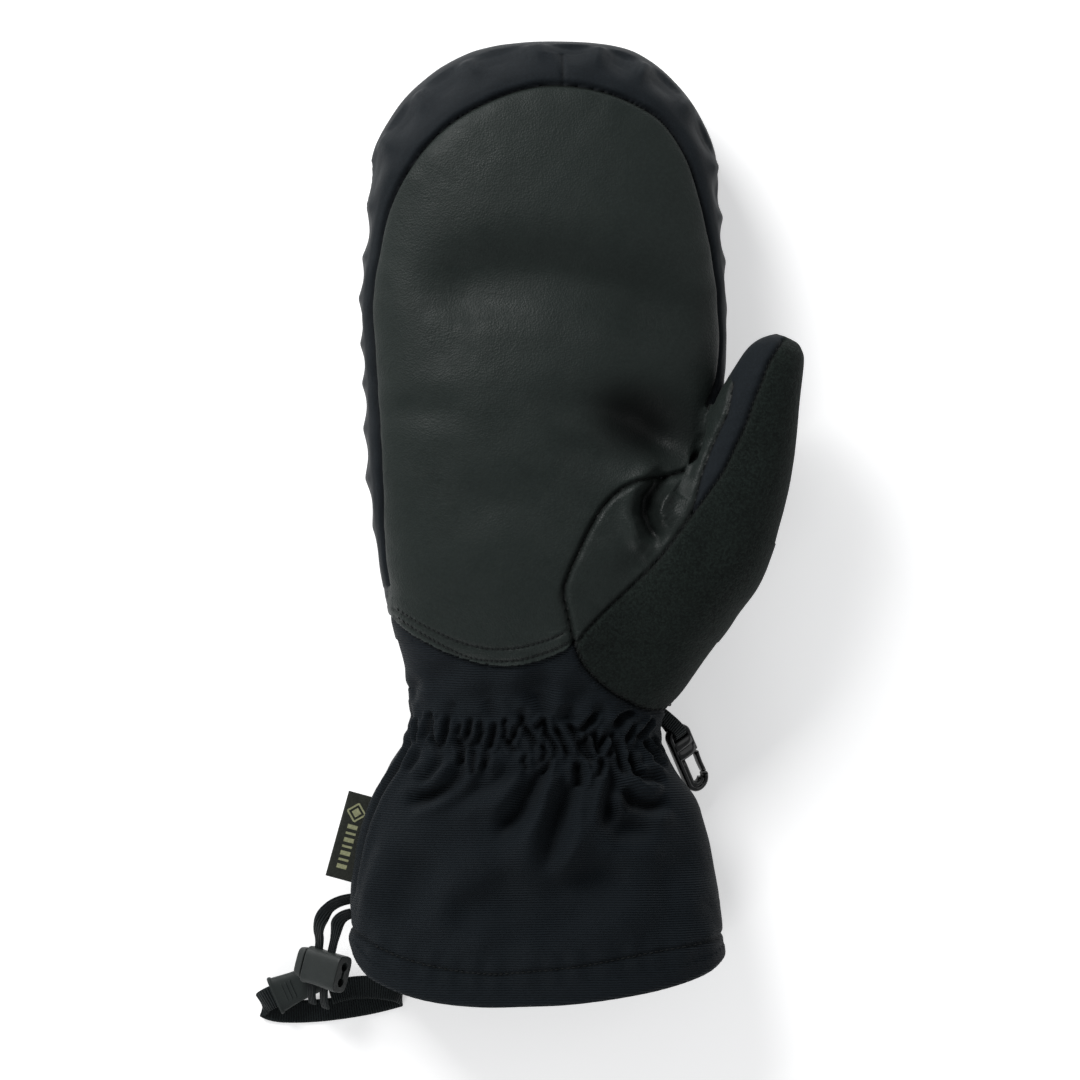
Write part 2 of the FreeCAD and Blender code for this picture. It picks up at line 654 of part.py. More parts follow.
v4 = volume(b)
print("lock volumes", [round(x, 1) for x in (v0, v1, v2, v3, v4)])
b.Placement = LOCK_POS

# plunger with the pressed head
b = body("cord_lock_plunger")
sk = sketch(b, "XY_Plane", "plunger_sketch")
rect(sk, "sizes.plunger_len", "sizes.plunger_w", "-(sizes.lock_len - sizes.plunger_len) / 2 - 1.0")
pad(b, sk, "sizes.plunger_h", "plunger_bar")
sk = sketch(b, "XY_Plane", "head_sketch")
rect(sk, "sizes.head_len", "sizes.head_w", "-sizes.lock_len / 2 - sizes.plunger_travel - 1.3 - sizes.head_len / 2")
hd = pad(b, sk, "sizes.head_h", "plunger_head")
sk = sketch(b, "XY_Plane", "stem_sketch")
rect(sk, "4", "sizes.plunger_w", "-sizes.lock_len / 2 - 1.2")
st = pad(b, sk, "sizes.plunger_h", "plunger_stem")
doc.recompute()
sk = sketch(b, "XZ_Plane", "plunger_slots_sketch")
rect(sk, "sizes.strand_w + 0.2 + sizes.plunger_travel", "sizes.slot_h", "sizes.slot_one - sizes.plunger_travel / 2")
rect(sk, "sizes.strand_w + 0.2 + sizes.plunger_travel", "sizes.slot_h", "sizes.slot_two - sizes.plunger_travel / 2")
ps = pocket(b, sk, "plunger_slots", through=True)
doc.recompute()
fillet_edges(b, ps, "head_round", "1.0", lambda e: e.BoundBox.XLength < 0.01 and e.BoundBox.ZLength < 0.01 and e.BoundBox.YLength > 9 and e.CenterOfMass.x < -11)
print("plunger volume", round(volume(b), 1))
b.Placement = LOCK_POS

# spring between the plunger's end and the housing's end wall
sr, sw, sl = S("spring_rad"), S("spring_wire"), S("spring_len")

# pull grip: flat sleeve, with a wider end and a lip; X is the way the webbing leaves it
b = body("pull_grip")
sk = sketch(b, "YZ_Plane", "grip_narrow")
rect(sk, "sizes.grip_w", "sizes.grip_thk")
gp = pad(b, sk, "sizes.grip_len", "grip_sleeve")
doc.recompute()
fillet_edges(b, gp, "grip_round", "sizes.grip_thk * 0.3", lambda e: abs(e.BoundBox.XLength) > 5)
sk = sketch(b, "XY_Plane", "grip_wide")
rect(sk, "sizes.grip_len / 3", "sizes.grip_end_w", "sizes.grip_len / 3")
pad(b, sk, "sizes.grip_end_thk", "grip_end")
sk = sketch(b, "XY_Plane", "lip_sketch")
rect(sk, "sizes.lip_len", "sizes.grip_end_w + 2 * sizes.lip_out", "sizes.grip_len / 2 - sizes.lip_len / 2")
pad(b, sk, "sizes.grip_end_thk + sizes.lip_out", "grip_lip")
sk = sketch(b, "YZ_Plane", "grip_slot_sketch")
rect(sk, "sizes.grip_slot_w", "sizes.grip_slot_h")
pocket(b, sk, "grip_slot", through=True)
print("grip volume", round(volume(b), 1))
b.Placement = FreeCAD.Placement(V(GX, GY, GZ), FreeCAD.Rotation(V(0, 0, 1), math.degrees(math.atan2(GDIR.y, GDIR.x))))

# glove clip: flat frame with a webbing eye and a hook opening closed by a springy gate; X runs down the clip
CLX, CLY = px(680, 760)
CLIP_U = V(0.39, -0.92, 0)
CLIP_ROT = FreeCAD.Rotation(V(0, 0, 1), math.degrees(math.atan2(CLIP_U.y, CLIP_U.x))).multiply(FreeCAD.Rotation(V(0, 1, 0), 26)).multiply(FreeCAD.Rotation(V(1, 0, 0), -25))
CLIP_POS = FreeCAD.Placement(V(CLX + 3.0, CLY, 11.6), CLIP_ROT)
b = body("clip_frame")
sk = sketch(b, "XY_Plane", "clip_outline")
rect(sk, "sizes.clip_len", "sizes.clip_w")
cp = pad(b, sk, "sizes.clip_thk", "clip_block")
doc.recompute()
fillet_edges(b, cp, "clip_corners", "sizes.clip_w * 0.38", lambda e: abs(e.BoundBox.ZLength) > 3)
sk = sketch(b, "XY_Plane", "clip_eye_sketch")
rect(sk, "sizes.clip_eye_len", "sizes.clip_w - 2 * sizes.clip_wall", "-sizes.clip_len / 2 + sizes.clip_wall + 0.6 + sizes.clip_eye_len / 2")
pocket(b, sk, "clip_eye", through=True)
v5 = volume(b)
HOOK_X0 = "(-sizes.clip_len / 2 + sizes.clip_wall + 0.6 + sizes.clip_eye_len + sizes.clip_bar)"
HOOK_L = "(sizes.clip_len - 2 * sizes.clip_wall - 1.2 - sizes.clip_eye_len - sizes.clip_bar)"
sk = sketch(b, "XY_Plane", "clip_hook_sketch")
rect(sk, HOOK_L, "sizes.clip_w - 2 * sizes.clip_wall", HOOK_X0 + " + " + HOOK_L + " / 2")
hk = pocket(b, sk, "clip_hook", through=True)
doc.recompute()
fillet_edges(b, hk, "clip_hook_round", "1.8", lambda e: abs(e.BoundBox.ZLength) > 3 and e.BoundBox.XLength < 0.01 and e.CenterOfMass.x > 5 and abs(e.CenterOfMass.y) < 3.2)
# the side that the gate closes
sk = sketch(b, "XY_Plane", "clip_gate_gap")
rect(sk, "sizes.gate_len + 2 * sizes.gate_gap", "sizes.clip_wall + 1.0", HOOK_X0 + " + sizes.gate_len / 2 + 0.8", "sizes.clip_w / 2 - sizes.clip_wall / 2 + 0.5")
pocket(b, sk, "clip_mouth", through=True)
print("clip volumes", round(v5, 1), round(volume(b), 1))
b.Placement = CLIP_POS

b = body("clip_gate")
sk = sketch(b, "XY_Plane", "gate_sketch")
rect(sk, "sizes.gate_len", "sizes.gate_thk", HOOK_X0 + " + sizes.gate_len / 2 + 0.8", "sizes.clip_w / 2 - sizes.clip_wall / 2 - 0.1")
gt = pad(b, sk, "sizes.clip_thk - 0.8", "gate_arm")
doc.recompute()
fillet_edges(b, gt, "gate_round", "0.5", lambda e: abs(e.BoundBox.ZLength) > 2.5)
print("gate volume", round(volume(b), 1))
b.Placement = CLIP_POS
tick("hardware")

# spring: round wire helix between the plunger's end and the housing's end wall
helix = Part.makeHelix(0.9, sl, sr)
prof = Part.Wire([Part.Circle(V(sr, 0, 0), V(0, 1, 0), sw / 2).toShape()])
coil = Part.Wire(helix.Edges).makePipeShell([prof], True, True)
x_end = -S("lock_len") / 2 + S("lock_cav_len") - 0.5
coil.Placement = LOCK_POS.multiply(FreeCAD.Placement(V(x_end - sl + 0.25, 0, 0), FreeCAD.Rotation(V(0, 1, 0), 90)))
sp = doc.addObject("Part::Feature", "cord_lock_spring")
sp.Label = "cord_lock_spring"
sp.Shape = coil
made["cord_lock_spring"] = sp

# webbing tab that holds the clip's bar and is caught in the gauntlet's side seam
eye_c = -S("clip_len") / 2 + S("clip_wall") + 0.6 + S("clip_eye_len") / 2
wall_c = -S("clip_len") / 2 + (S("clip_wall") + 0.6) / 2
ct = S("clip_thk") / 2


def at_clip(x, y, z):
    return tuple(CLIP_POS.multVec(V(x, y, z)))


cw = tuple(CLIP_ROT.multVec(V(0, 1, 0)))
sx, sy, sz = 32.4, -66.6, 21.0
tab, lt = ribbon([(sx, sy, sz + 0.7), at_clip(wall_c - 1.2, 0, ct + 1.1), at_clip(eye_c, 0, ct + 0.6), at_clip(eye_c + 0.1, 0, -ct - 0.6),
                  at_clip(wall_c - 1.2, 0, -ct - 1.1), (sx, sy, sz - 0.7)],
                 [(0.75, 0.6, -0.1)] + [cw] * 4 + [(0.75, 0.6, -0.1)], S("tab_w"), S("tab_thk"))
keep("clip_tab", tab)
print("WEB length", round(lw, 1), "lock X", [round(q, 4) for q in ACROSS_LOCK])
print("tab length", round(lt, 1), "volume share", round(tab.Volume / (lt * S("tab_w") * S("tab_thk")), 3))
print("FRAMES lock x", [round(q, 4) for q in LOCK_ROT.multVec(V(1, 0, 0))], "lock y", [round(q, 4) for q in LOCK_ROT.multVec(V(0, 1, 0))], "lock at", (round(CX, 2), round(CY, 2), CZ))
print("FRAMES clip y", [round(q, 4) for q in cw], "clip z", [round(q, 4) for q in CLIP_ROT.multVec(V(0, 0, 1))], "clip x", [round(q, 4) for q in CLIP_ROT.multVec(V(1, 0, 0))],
      "end bar", [round(q, 2) for q in at_clip(wall_c, 0, 0)], "centre", [round(q, 2) for q in at_clip(0, 0, 0)])
HX0 = -S("clip_len") / 2 + S("clip_wall") + 0.6 + S("clip_eye_len") + S("clip_bar")
print("FRAMES gate root", [round(q, 2) for q in at_clip(HX0 + 0.8 + 0.7, S("clip_w") / 2 - S("clip_wall") / 2 - 0.1, 0)], "hook", HX0, "grip at", (round(GX, 2), round(GY, 2), GZ))
print("FRAMES knuckle", (round(HX, 2), round(HY, 2), kz), "axis", (WY, -WX, 0), "wrist", (0, wy, wz))

# side label, a flat flag sewn into the little-finger side seam
lx, ly = px(349, 838)
blank = doc.addObject("Part::Box", "label_blank")
blank.setExpression("Length", "sizes.label_w")
blank.setExpression("Width", "sizes.label_len")
blank.setExpression("Height", "sizes.label_thk")
doc.recompute()
blank.Placement = FreeCAD.Placement(V(0, 0, 0), FreeCAD.Rotation(V(0, 0, 1), -15.5))
blank.Placement.Base = V(lx, ly, 19.6) - blank.Placement.Rotation.multVec(V(S("label_w") / 2, S("label_len") / 2, 0))
trim = doc.addObject("Part::Feature", "label_trim")
trim.Shape = hull(-0.1)
lab = doc.addObject("Part::Cut", "side_label")
lab.Label = "side_label"
lab.Base = blank
lab.Tool = trim
made["side_label"] = lab

# care label sewn inside the gauntlet, on the palm side
care = doc.addObject("Part::Box", "care_label")
care.Label = "care_label"
care.setExpression("Length", "sizes.care_w")
care.setExpression("Width", "sizes.care_len")
care.setExpression("Height", "sizes.care_thk")
made["care_label"] = care
doc.recompute()
care.Placement = FreeCAD.Placement(V(-20, -147, 3.7), FreeCAD.Rotation(V(0, 0, 1), 0))
doc.recompute()
tick("labels")

bad = [o.Name for o in doc.Objects if "Invalid" in o.State or "Error" in o.State]
if bad:
    raise RuntimeError("failed objects: %s" % bad)
for name, o in made.items():
    s = o.Shape
    if s.isNull() or not s.isValid() or not s.Solids:
        print("BAD", name, s.isNull(), s.isValid() if not s.isNull() else None, len(s.Solids))
    s.exportStep("parts/%s.step" % name)
    bb = s.optimalBoundingBox(False)
    print("%-26s solids %d vol %9.1f  x %7.1f %7.1f  y %7.1f %7.1f  z %6.1f %6.1f" % (name, len(s.Solids), s.Volume, bb.XMin, bb.XMax, bb.YMin, bb.YMax, bb.ZMin, bb.ZMax))
tick("written")
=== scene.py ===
"""Visual model of a right-hand ski mitten lying palm up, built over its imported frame."""
import bpy
import math
import numpy as np
from mathutils import Vector, Matrix
from mathutils.bvhtree import BVHTree


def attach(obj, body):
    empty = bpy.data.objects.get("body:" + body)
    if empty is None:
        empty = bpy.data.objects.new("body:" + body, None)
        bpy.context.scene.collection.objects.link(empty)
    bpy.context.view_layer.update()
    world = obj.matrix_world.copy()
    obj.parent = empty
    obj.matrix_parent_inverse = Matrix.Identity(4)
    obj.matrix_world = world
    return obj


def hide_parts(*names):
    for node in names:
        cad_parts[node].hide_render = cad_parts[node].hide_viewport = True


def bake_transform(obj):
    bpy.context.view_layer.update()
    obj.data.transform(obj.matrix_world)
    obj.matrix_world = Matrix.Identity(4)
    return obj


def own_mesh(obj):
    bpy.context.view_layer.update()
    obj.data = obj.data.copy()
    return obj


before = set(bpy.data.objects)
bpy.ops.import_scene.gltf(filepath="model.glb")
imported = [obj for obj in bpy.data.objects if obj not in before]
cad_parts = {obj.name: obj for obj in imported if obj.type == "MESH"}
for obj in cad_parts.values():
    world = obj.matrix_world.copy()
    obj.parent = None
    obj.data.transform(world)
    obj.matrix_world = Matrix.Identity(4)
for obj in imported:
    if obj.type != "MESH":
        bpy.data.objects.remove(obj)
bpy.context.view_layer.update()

MM = 0.001
K, U0, V0 = 0.345, 566.5, 521.0
rng = np.random.default_rng(11)
scene = bpy.context.scene

# ------------------------------------------------------------------ camera, floor and light
cam_data = bpy.data.cameras.new("camera")
cam = bpy.data.objects.new("camera", cam_data)
scene.collection.objects.link(cam)
cam_data.lens, cam_data.sensor_width = 135.0, 36.0
cam.location = ((540 - U0) * K * MM, (V0 - 540) * K * MM, 0.028 + 1080 * K * MM * 135.0 / 36.0)
cam_data.clip_start, cam_data.clip_end = 0.05, 20.0
scene.camera = cam
scene.view_settings.view_transform = "Standard"
scene.view_settings.look = "None"


def area_light(name, where, aim, size, power, colour=(1, 1, 1)):
    d = bpy.data.lights.new(name, "AREA")
    d.shape, d.size, d.energy, d.color = "SQUARE", size, power, colour
    o = bpy.data.objects.new(name, d)
    scene.collection.objects.link(o)
    o.location = where
    o.rotation_mode = "QUATERNION"
    o.rotation_quaternion = (Vector(aim) - Vector(where)).to_track_quat("-Z", "Y")
    return o


area_light("key", (-0.62, 0.86, 0.76), (0, 0, 0), 0.6, 15.5)
area_light("fill", (0.95, 0.1, 0.8), (0, 0, 0), 0.9, 1.7)
area_light("low", (-0.45, -1.0, 0.5), (0, 0, 0.02), 0.6, 4.2)
world = bpy.data.worlds.new("world")
scene.world = world
world.use_nodes = True
world.node_tree.nodes["Background"].inputs["Color"].default_value = (0.95, 0.97, 1.0, 1)
world.node_tree.nodes["Background"].inputs["Strength"].default_value = 0.26


# ------------------------------------------------------------------ material helpers
class Mat:
    """A small wrapper that builds a node tree by name."""

    def __init__(self, name, colour, rough=0.6, spec=0.2, sheen=0.0, sheen_rough=0.5, coat=0.0, metallic=0.0):
        self.m = bpy.data.materials.new(name)
        self.m.use_nodes = True
        self.t = self.m.node_tree
        self.b = self.t.nodes["Principled BSDF"]
        self.b.inputs["Base Color"].default_value = (*colour, 1)
        self.b.inputs["Roughness"].default_value = rough
        self.b.inputs["Specular IOR Level"].default_value = spec
        self.b.inputs["Sheen Weight"].default_value = sheen
        self.b.inputs["Sheen Roughness"].default_value = sheen_rough
        self.b.inputs["Coat Weight"].default_value = coat
        self.b.inputs["Metallic"].default_value = metallic
        self.colour = colour
        self.co = self.t.nodes.new("ShaderNodeTexCoord").outputs["Object"]
        self.height = None

    def n(self, kind, **vals):
        node = self.t.nodes.new(kind)
        for k, v in vals.items():
            if k in node.inputs:
                node.inputs[k].default_value = v
            else:
                setattr(node, k, v)
        return node

    def link(self, a, b):
        self.t.links.new(a, b)

    def noise(self, scale, detail=3.0, rough=0.55, vec=None, distortion=0.0):
        x = self.n("ShaderNodeTexNoise", Scale=scale, Detail=detail, Roughness=rough, Distortion=distortion)
        self.link(vec or self.co, x.inputs["Vector"])
        return x.outputs["Fac"]

    def voronoi(self, scale, feature="F1", vec=None, randomness=1.0):
        x = self.n("ShaderNodeTexVoronoi", feature=feature, Scale=scale, Randomness=randomness)
        self.link(vec or self.co, x.inputs["Vector"])
        return x.outputs["Distance"]

    def math(self, op, a, b=None, clamp=False):
        x = self.n("ShaderNodeMath", operation=op, use_clamp=clamp)
        for i, s in enumerate((a, b)):
            if s is None:
                continue
            if isinstance(s, (int, float)):
                x.inputs[i].default_value = s
            else:
                self.link(s, x.inputs[i])
        return x.outputs[0]

    def attr(self, name):
        x = self.n("ShaderNodeAttribute", attribute_type="GEOMETRY", attribute_name=name)
        return x.outputs["Fac"]

    def scaled(self, v, src=None):
        x = self.n("ShaderNodeMapping")
        x.inputs["Scale"].default_value = v
        self.link(src or self.co, x.inputs["Vector"])
        return x.outputs["Vector"]

    def bump(self, h, strength, dist):
        x = self.n("ShaderNodeBump", Strength=strength, Distance=dist)
        self.link(h, x.inputs["Height"])
        if self.height is not None:
            self.link(self.height, x.inputs["Normal"])
        self.height = x.outputs["Normal"]
        self.link(self.height, self.b.inputs["Normal"])

    def mix(self, fac, a, b):
        """Colour between a and b by fac."""
        x = self.n("ShaderNodeMix", data_type="RGBA")
        self.link(fac, x.inputs["Factor"])
        for key, c in (("A", a), ("B", b)):
            s = [i for i in x.inputs if i.name == key and i.type == "RGBA"][0]
            if isinstance(c, tuple):
                s.default_value = (*c, 1)
            else:
                self.link(c, s)
        out = [o for o in x.outputs if o.type == "RGBA"][0]
        self.link(out, self.b.inputs["Base Color"])
        return out

    def ramp(self, fac, lo, hi, a=0.0, b=1.0):
        x = self.n("ShaderNodeMapRange")
        for k, v in (("From Min", lo), ("From Max", hi), ("To Min", a), ("To Max", b)):
            x.inputs[k].default_value = v
        self.link(fac, x.inputs["Value"])
        return x.outputs["Result"]

    def rough(self, fac, a, b):
        self.link(self.ramp(fac, 0.3, 0.7, a, b), self.b.inputs["Roughness"])


def lin(r, g, b):
    return tuple((c / 255 / 12.92) if c / 255 <= 0.04045 else ((c / 255 + 0.055) / 1.055) ** 2.4 for c in (r, g, b))


def tone(c, k):
    return tuple(x * k for x in c)


def leather(name, colour, rough=0.5, spec=0.22):
    m = Mat(name, colour, rough, spec, sheen=0.02, sheen_rough=0.4)
    big = m.noise(28, 4)
    fine = m.noise(900, 3)
    cells = m.voronoi(1500)
    cells2 = m.voronoi(3100)
    painted_shade = m.attr("painted_shade")
    c1 = m.mix(m.ramp(big, 0.3, 0.7), tone(colour, 0.88), tone(colour, 1.12))
    c2 = m.mix(m.ramp(fine, 0.35, 0.75), c1, tone(colour, 1.3))
    # painted shade: towards near black where seams, folds and hollows are marked
    c3 = m.mix(m.ramp(painted_shade, 0.0, 1.0, 0.0, 0.95), c2, tone(colour, 0.12))
    # painted highlight: a lighter line along the raised cut edge of the palm leather
    edge_highlight = m.attr("edge_highlight")
    m.mix(m.ramp(edge_highlight, 0.0, 1.0, 0.0, 0.6), c3, tone(colour, 2.2))
    m.rough(m.noise(160, 3), rough - 0.07, rough + 0.1)
    m.bump(m.noise(60, 3), 0.25, 0.0012)
    m.bump(cells, 0.32, 0.0003)
    m.bump(cells2, 0.2, 0.00014)
    return m.m


def suede(name, colour):
    m = Mat(name, colour, 0.95, 0.05, sheen=0.05, sheen_rough=0.6)
    big = m.noise(45, 4)
    nap = m.noise(1150, 2, 0.7)
    blot = m.noise(520, 4, 0.75)
    speck = m.voronoi(900)
    c1 = m.mix(m.ramp(big, 0.3, 0.7), tone(colour, 0.8), tone(colour, 1.2))
    c2 = m.mix(m.ramp(blot, 0.42, 0.62), c1, tone(colour, 1.7))
    c3 = m.mix(m.ramp(nap, 0.47, 0.6), c2, tone(colour, 2.5))
    c4 = m.mix(m.ramp(speck, 0.3, 0.05, 0.0, 0.7), c3, tone(colour, 2.8))
    # painted shade: darker where seams, folds and hollows are marked
    m.mix(m.ramp(m.attr("painted_shade"), 0, 1, 0, 0.8), c4, tone(colour, 0.3))
    m.bump(blot, 0.9, 0.0006)
    m.bump(nap, 0.9, 0.0004)
    return m.m


def weave(name, colour, pitch=0.55, sheen=0.03, strength=0.35, rough=0.75):
    """Smooth woven cloth: two crossing sets of threads."""
    m = Mat(name, colour, rough, 0.12, sheen=sheen, sheen_rough=0.5)
    sep = m.n("ShaderNodeSeparateXYZ")
    m.link(m.co, sep.inputs[0])
    w = 2 * math.pi / (pitch * MM)
    a = m.math("SINE", m.math("MULTIPLY", m.math("ADD", sep.outputs[0], sep.outputs[1]), w))
    b = m.math("SINE", m.math("MULTIPLY", m.math("SUBTRACT", sep.outputs[0], sep.outputs[1]), w))
    h = m.math("MULTIPLY", a, b)
    big = m.noise(40, 4)
    c1 = m.mix(m.ramp(big, 0.3, 0.7), tone(colour, 0.88), tone(colour, 1.12))
    c2 = m.mix(m.ramp(m.noise(1500, 2), 0.4, 0.75), c1, tone(colour, 1.5))
    # painted shade: darker where seams, folds and hollows are marked
    m.mix(m.ramp(m.attr("painted_shade"), 0, 1, 0, 0.8), c2, tone(colour, 0.3))
    m.bump(m.noise(220, 3), 0.3, 0.0005)
    m.bump(h, strength, 0.00012)
    return m.m


def ribbed(name, colour, pitch=0.82, attr="lv"):
    """Cloth with fine ribs across its length; the attribute holds the distance along it, in millimetres."""
    m = Mat(name, colour, 0.72, 0.1, sheen=0.03, sheen_rough=0.45)
    wob = m.noise(120, 3)
    lv = m.math("ADD", m.attr(attr), m.math("MULTIPLY", wob, 0.5))
    wave = m.math("SINE", m.math("MULTIPLY", lv, 2 * math.pi / pitch))
    thread = m.noise(2300, 2, 0.6, vec=m.scaled((0.35, 1.6, 1.0)))
    big = m.noise(30, 4)
    c1 = m.mix(m.ramp(big, 0.3, 0.7), tone(colour, 0.86), tone(colour, 1.14))
    c2 = m.mix(m.ramp(wave, -1.0, 1.0, 0.0, 0.8), c1, tone(colour, 2.0))
    c3 = m.mix(m.ramp(thread, 0.45, 0.75, 0.0, 0.6), c2, tone(colour, 2.0))
    # painted shade: darker where seams, folds and hollows are marked
    m.mix(m.ramp(m.attr("painted_shade"), 0, 1, 0, 0.85), c3, tone(colour, 0.22))
    m.bump(m.noise(200, 3), 0.25, 0.0006)
    m.bump(wave, 0.7, 0.0003)
    m.bump(thread, 0.3, 0.0001)
    return m.m


def fleece(name, colour):
    m = Mat(name, colour, 1.0, 0.04, sheen=0.5, sheen_rough=0.7)
    tuft = m.voronoi(420)
    fuzz = m.noise(1800, 3, 0.7)
    c1 = m.mix(m.ramp(tuft, 0.1, 0.8), tone(colour, 1.3), tone(colour, 0.6))
    m.mix(m.ramp(fuzz, 0.4, 0.7), c1, tone(colour, 1.6))
    m.bump(tuft, 0.8, 0.0012)
    m.bump(fuzz, 0.6, 0.0004)
    return m.m


def grosgrain(name, colour, pitch=0.0008, along=0):
    """Ribbed band; the ribs run across the band. UV x is the length in millimetres and y the width."""
    m = Mat(name, colour, 0.62, 0.16, sheen=0.03)
    uv = m.n("ShaderNodeUVMap", uv_map="band").outputs["UV"]
    sep = m.n("ShaderNodeSeparateXYZ")
    m.link(uv, sep.inputs[0])
    wob = m.math("MULTIPLY", m.noise(260, 3), 0.35)
    wave = m.math("SINE", m.math("MULTIPLY", m.math("ADD", sep.outputs[along], wob), 2 * math.pi / (pitch * 1000)))
    c1 = m.mix(m.ramp(wave, -1, 1), tone(colour, 0.55), tone(colour, 1.5))
    m.mix(m.ramp(m.noise(1700, 2), 0.42, 0.72), c1, tone(colour, 2.0))
    m.bump(wave, 0.9, 0.0003)
    m.bump(m.noise(2500, 2), 0.3, 0.0001)
    return m.m


def moulded(name, colour, rough=0.5, spec=0.35, grain=0.35):
    m = Mat(name, colour, rough, spec)
    c = m.mix(m.ramp(m.noise(90, 4), 0.3, 0.7), tone(colour, 0.9), tone(colour, 1.12))
    m.mix(m.ramp(m.noise(2600, 2), 0.55, 0.75), c, tone(colour, 1.35))
    m.rough(m.noise(420, 3), rough - 0.08, rough + 0.1)
    m.bump(m.noise(2600, 3, 0.6), grain, 0.00008)
    m.bump(m.noise(150, 2), 0.12, 0.0003)
    return m.m


PALM = lin(29, 35, 33)
BAND = lin(18, 23, 27)
M_PALM = leather("palm_leather_grain", PALM, 0.5, 0.17)
M_GUSSET = leather("gusset_leather_grain", tone(PALM, 0.95), 0.48, 0.18)
M_BAND = weave("band_softshell", BAND, 0.6, 0.03, 0.25, 0.6)
M_SUEDE = suede("thumb_suede_nap", lin(14, 19, 17))
M_SIDE = weave("thumb_side_cloth", lin(20, 25, 29), 0.6)
M_BACK = weave("back_softshell", lin(20, 25, 30), 0.8, 0.03, 0.45)
M_CUFF = ribbed("gauntlet_ribbed_cloth", lin(13, 18, 22))
M_LINE = weave("gauntlet_lining_cloth", lin(24, 27, 32), 0.9, 0.1, 0.4)
M_FLEECE = fleece("fleece_pile", lin(26, 28, 32))
M_WADD = fleece("wadding_fibre", lin(46, 48, 50))
M_INSERT = moulded("insert_film", lin(34, 37, 40), 0.6, 0.3, 0.2)
M_FILM = moulded("membrane_film", lin(196, 200, 200), 0.6, 0.3, 0.2)
M_THREAD = Mat("thread", lin(16, 20, 22), 0.7, 0.2, sheen=0.03)
M_THREAD.mix(M_THREAD.ramp(M_THREAD.noise(3000, 2), 0.35, 0.7), lin(8, 11, 12), lin(17, 21, 22))
M_THREAD.bump(M_THREAD.noise(4000, 2), 0.5, 0.0001)
M_THREAD = M_THREAD.m
M_WEB = grosgrain("grosgrain", lin(20, 25, 26), 0.00085, 0)
M_ELAS = grosgrain("elastic_ribs", lin(18, 23, 24), 0.0007, 1)
M_LOCK = moulded("lock_plastic", lin(40, 44, 43), 0.5, 0.3)
M_GRIP = moulded("grip_rubber", lin(36, 41, 40), 0.58, 0.25, 0.5)
M_CLIP = moulded("clip_gloss", lin(10, 11, 12), 0.16, 0.5, 0.08)
M_STEEL = Mat("spring_wire", lin(150, 150, 150), 0.3, 0.5, metallic=1.0)
M_STEEL.mix(M_STEEL.noise(800, 2), lin(120, 120, 122), lin(175, 175, 175))
M_STEEL = M_STEEL.m
M_LABEL = weave("label_weave", lin(44, 46, 42), 0.45, 0.05, 0.6, 0.8)
M_MOTIF = weave("label_motif_thread", lin(150, 152, 118), 0.4, 0.1, 0.6, 0.7)


# ------------------------------------------------------------------ mesh helpers
def new_object(name, verts_mm, faces, material, smooth=True, attrs=None, uv=None):
    me = bpy.data.meshes.new(name)
    if isinstance(faces, np.ndarray):
        faces = faces[:, :]
        n, m, k = len(verts_mm), len(faces), faces.shape[1]
        me.vertices.add(n)
        me.vertices.foreach_set("co", (np.asarray(verts_mm) * MM).astype(np.float32).ravel())
        me.loops.add(m * k)
        me.loops.foreach_set("vertex_index", faces.astype(np.int32).ravel())
        me.polygons.add(m)
        me.polygons.foreach_set("loop_start", np.arange(0, m * k, k, dtype=np.int32))
        me.polygons.foreach_set("loop_total", np.full(m, k, dtype=np.int32))
        me.update(calc_edges=True)
        me.validate()
    else:
        me.from_pydata([tuple(np.asarray(p) * MM) for p in verts_mm], [], faces)
        me.update()
    me.polygons.foreach_set("use_smooth", [smooth] * len(me.polygons))
    for key, val in (attrs or {}).items():
        if len(val) == len(me.vertices):
            me.attributes.new(key, "FLOAT", "POINT").data.foreach_set("value", np.asarray(val, np.float32))
    if uv is not None:
        layer = me.uv_layers.new(name="band")
        idx = np.zeros(len(me.loops), np.int32)
        me.loops.foreach_get("vertex_index", idx)
        layer.data.foreach_set("uv", np.asarray(uv, np.float32)[idx].ravel())
    o = bpy.data.objects.new(name, me)
    scene.collection.objects.link(o)
    me.materials.append(material)
    return o


def pchip(xs, ys, q):
    xs, ys, q = np.asarray(xs, float), np.asarray(ys, float), np.asarray(q, float)
    h, d = np.diff(xs), np.diff(ys) / np.diff(xs)
    m = np.zeros_like(ys)
    m[0], m[-1] = d[0], d[-1]
    for i in range(1, len(xs) - 1):
        if d[i - 1] * d[i] > 0:
            w1, w2 = 2 * h[i] + h[i - 1], h[i] + 2 * h[i - 1]
            m[i] = (w1 + w2) / (w1 / d[i - 1] + w2 / d[i])
    i = np.clip(np.searchsorted(xs, q) - 1, 0, len(xs) - 2)
    t = np.clip((q - xs[i]) / h[i], 0, 1)
    return ((1 + 2 * t) * (1 - t) ** 2 * ys[i] + t * (1 - t) ** 2 * h[i] * m[i] + t * t * (3 - 2 * t) * ys[i + 1] + t * t * (t - 1) * h[i] * m[i + 1])


def smooth01(x, a, b):
    t = np.clip((x - a) / (b - a), 0, 1)
    return t * t * (3 - 2 * t)


LATTICE = rng.random((64, 64, 64))


def noise3(p, scale):
    """Smooth value noise, -1 to 1; scale is the size of a cell in millimetres."""
    q = np.asarray(p) / scale
    i = np.floor(q).astype(int)
    f = q - i
    f = f * f * (3 - 2 * f)
    out = 0
    for dx in (0, 1):
        for dy in (0, 1):
            for dz in (0, 1):
                w = (f[:, 0] if dx else 1 - f[:, 0]) * (f[:, 1] if dy else 1 - f[:, 1]) * (f[:, 2] if dz else 1 - f[:, 2])
                out = out + w * LATTICE[(i[:, 0] + dx) % 64, (i[:, 1] + dy) % 64, (i[:, 2] + dz) % 64]
    return out * 2 - 1


def to_mm(points):
    return np.array([[(u - U0) * K, (V0 - v) * K] for u, v in points], float)


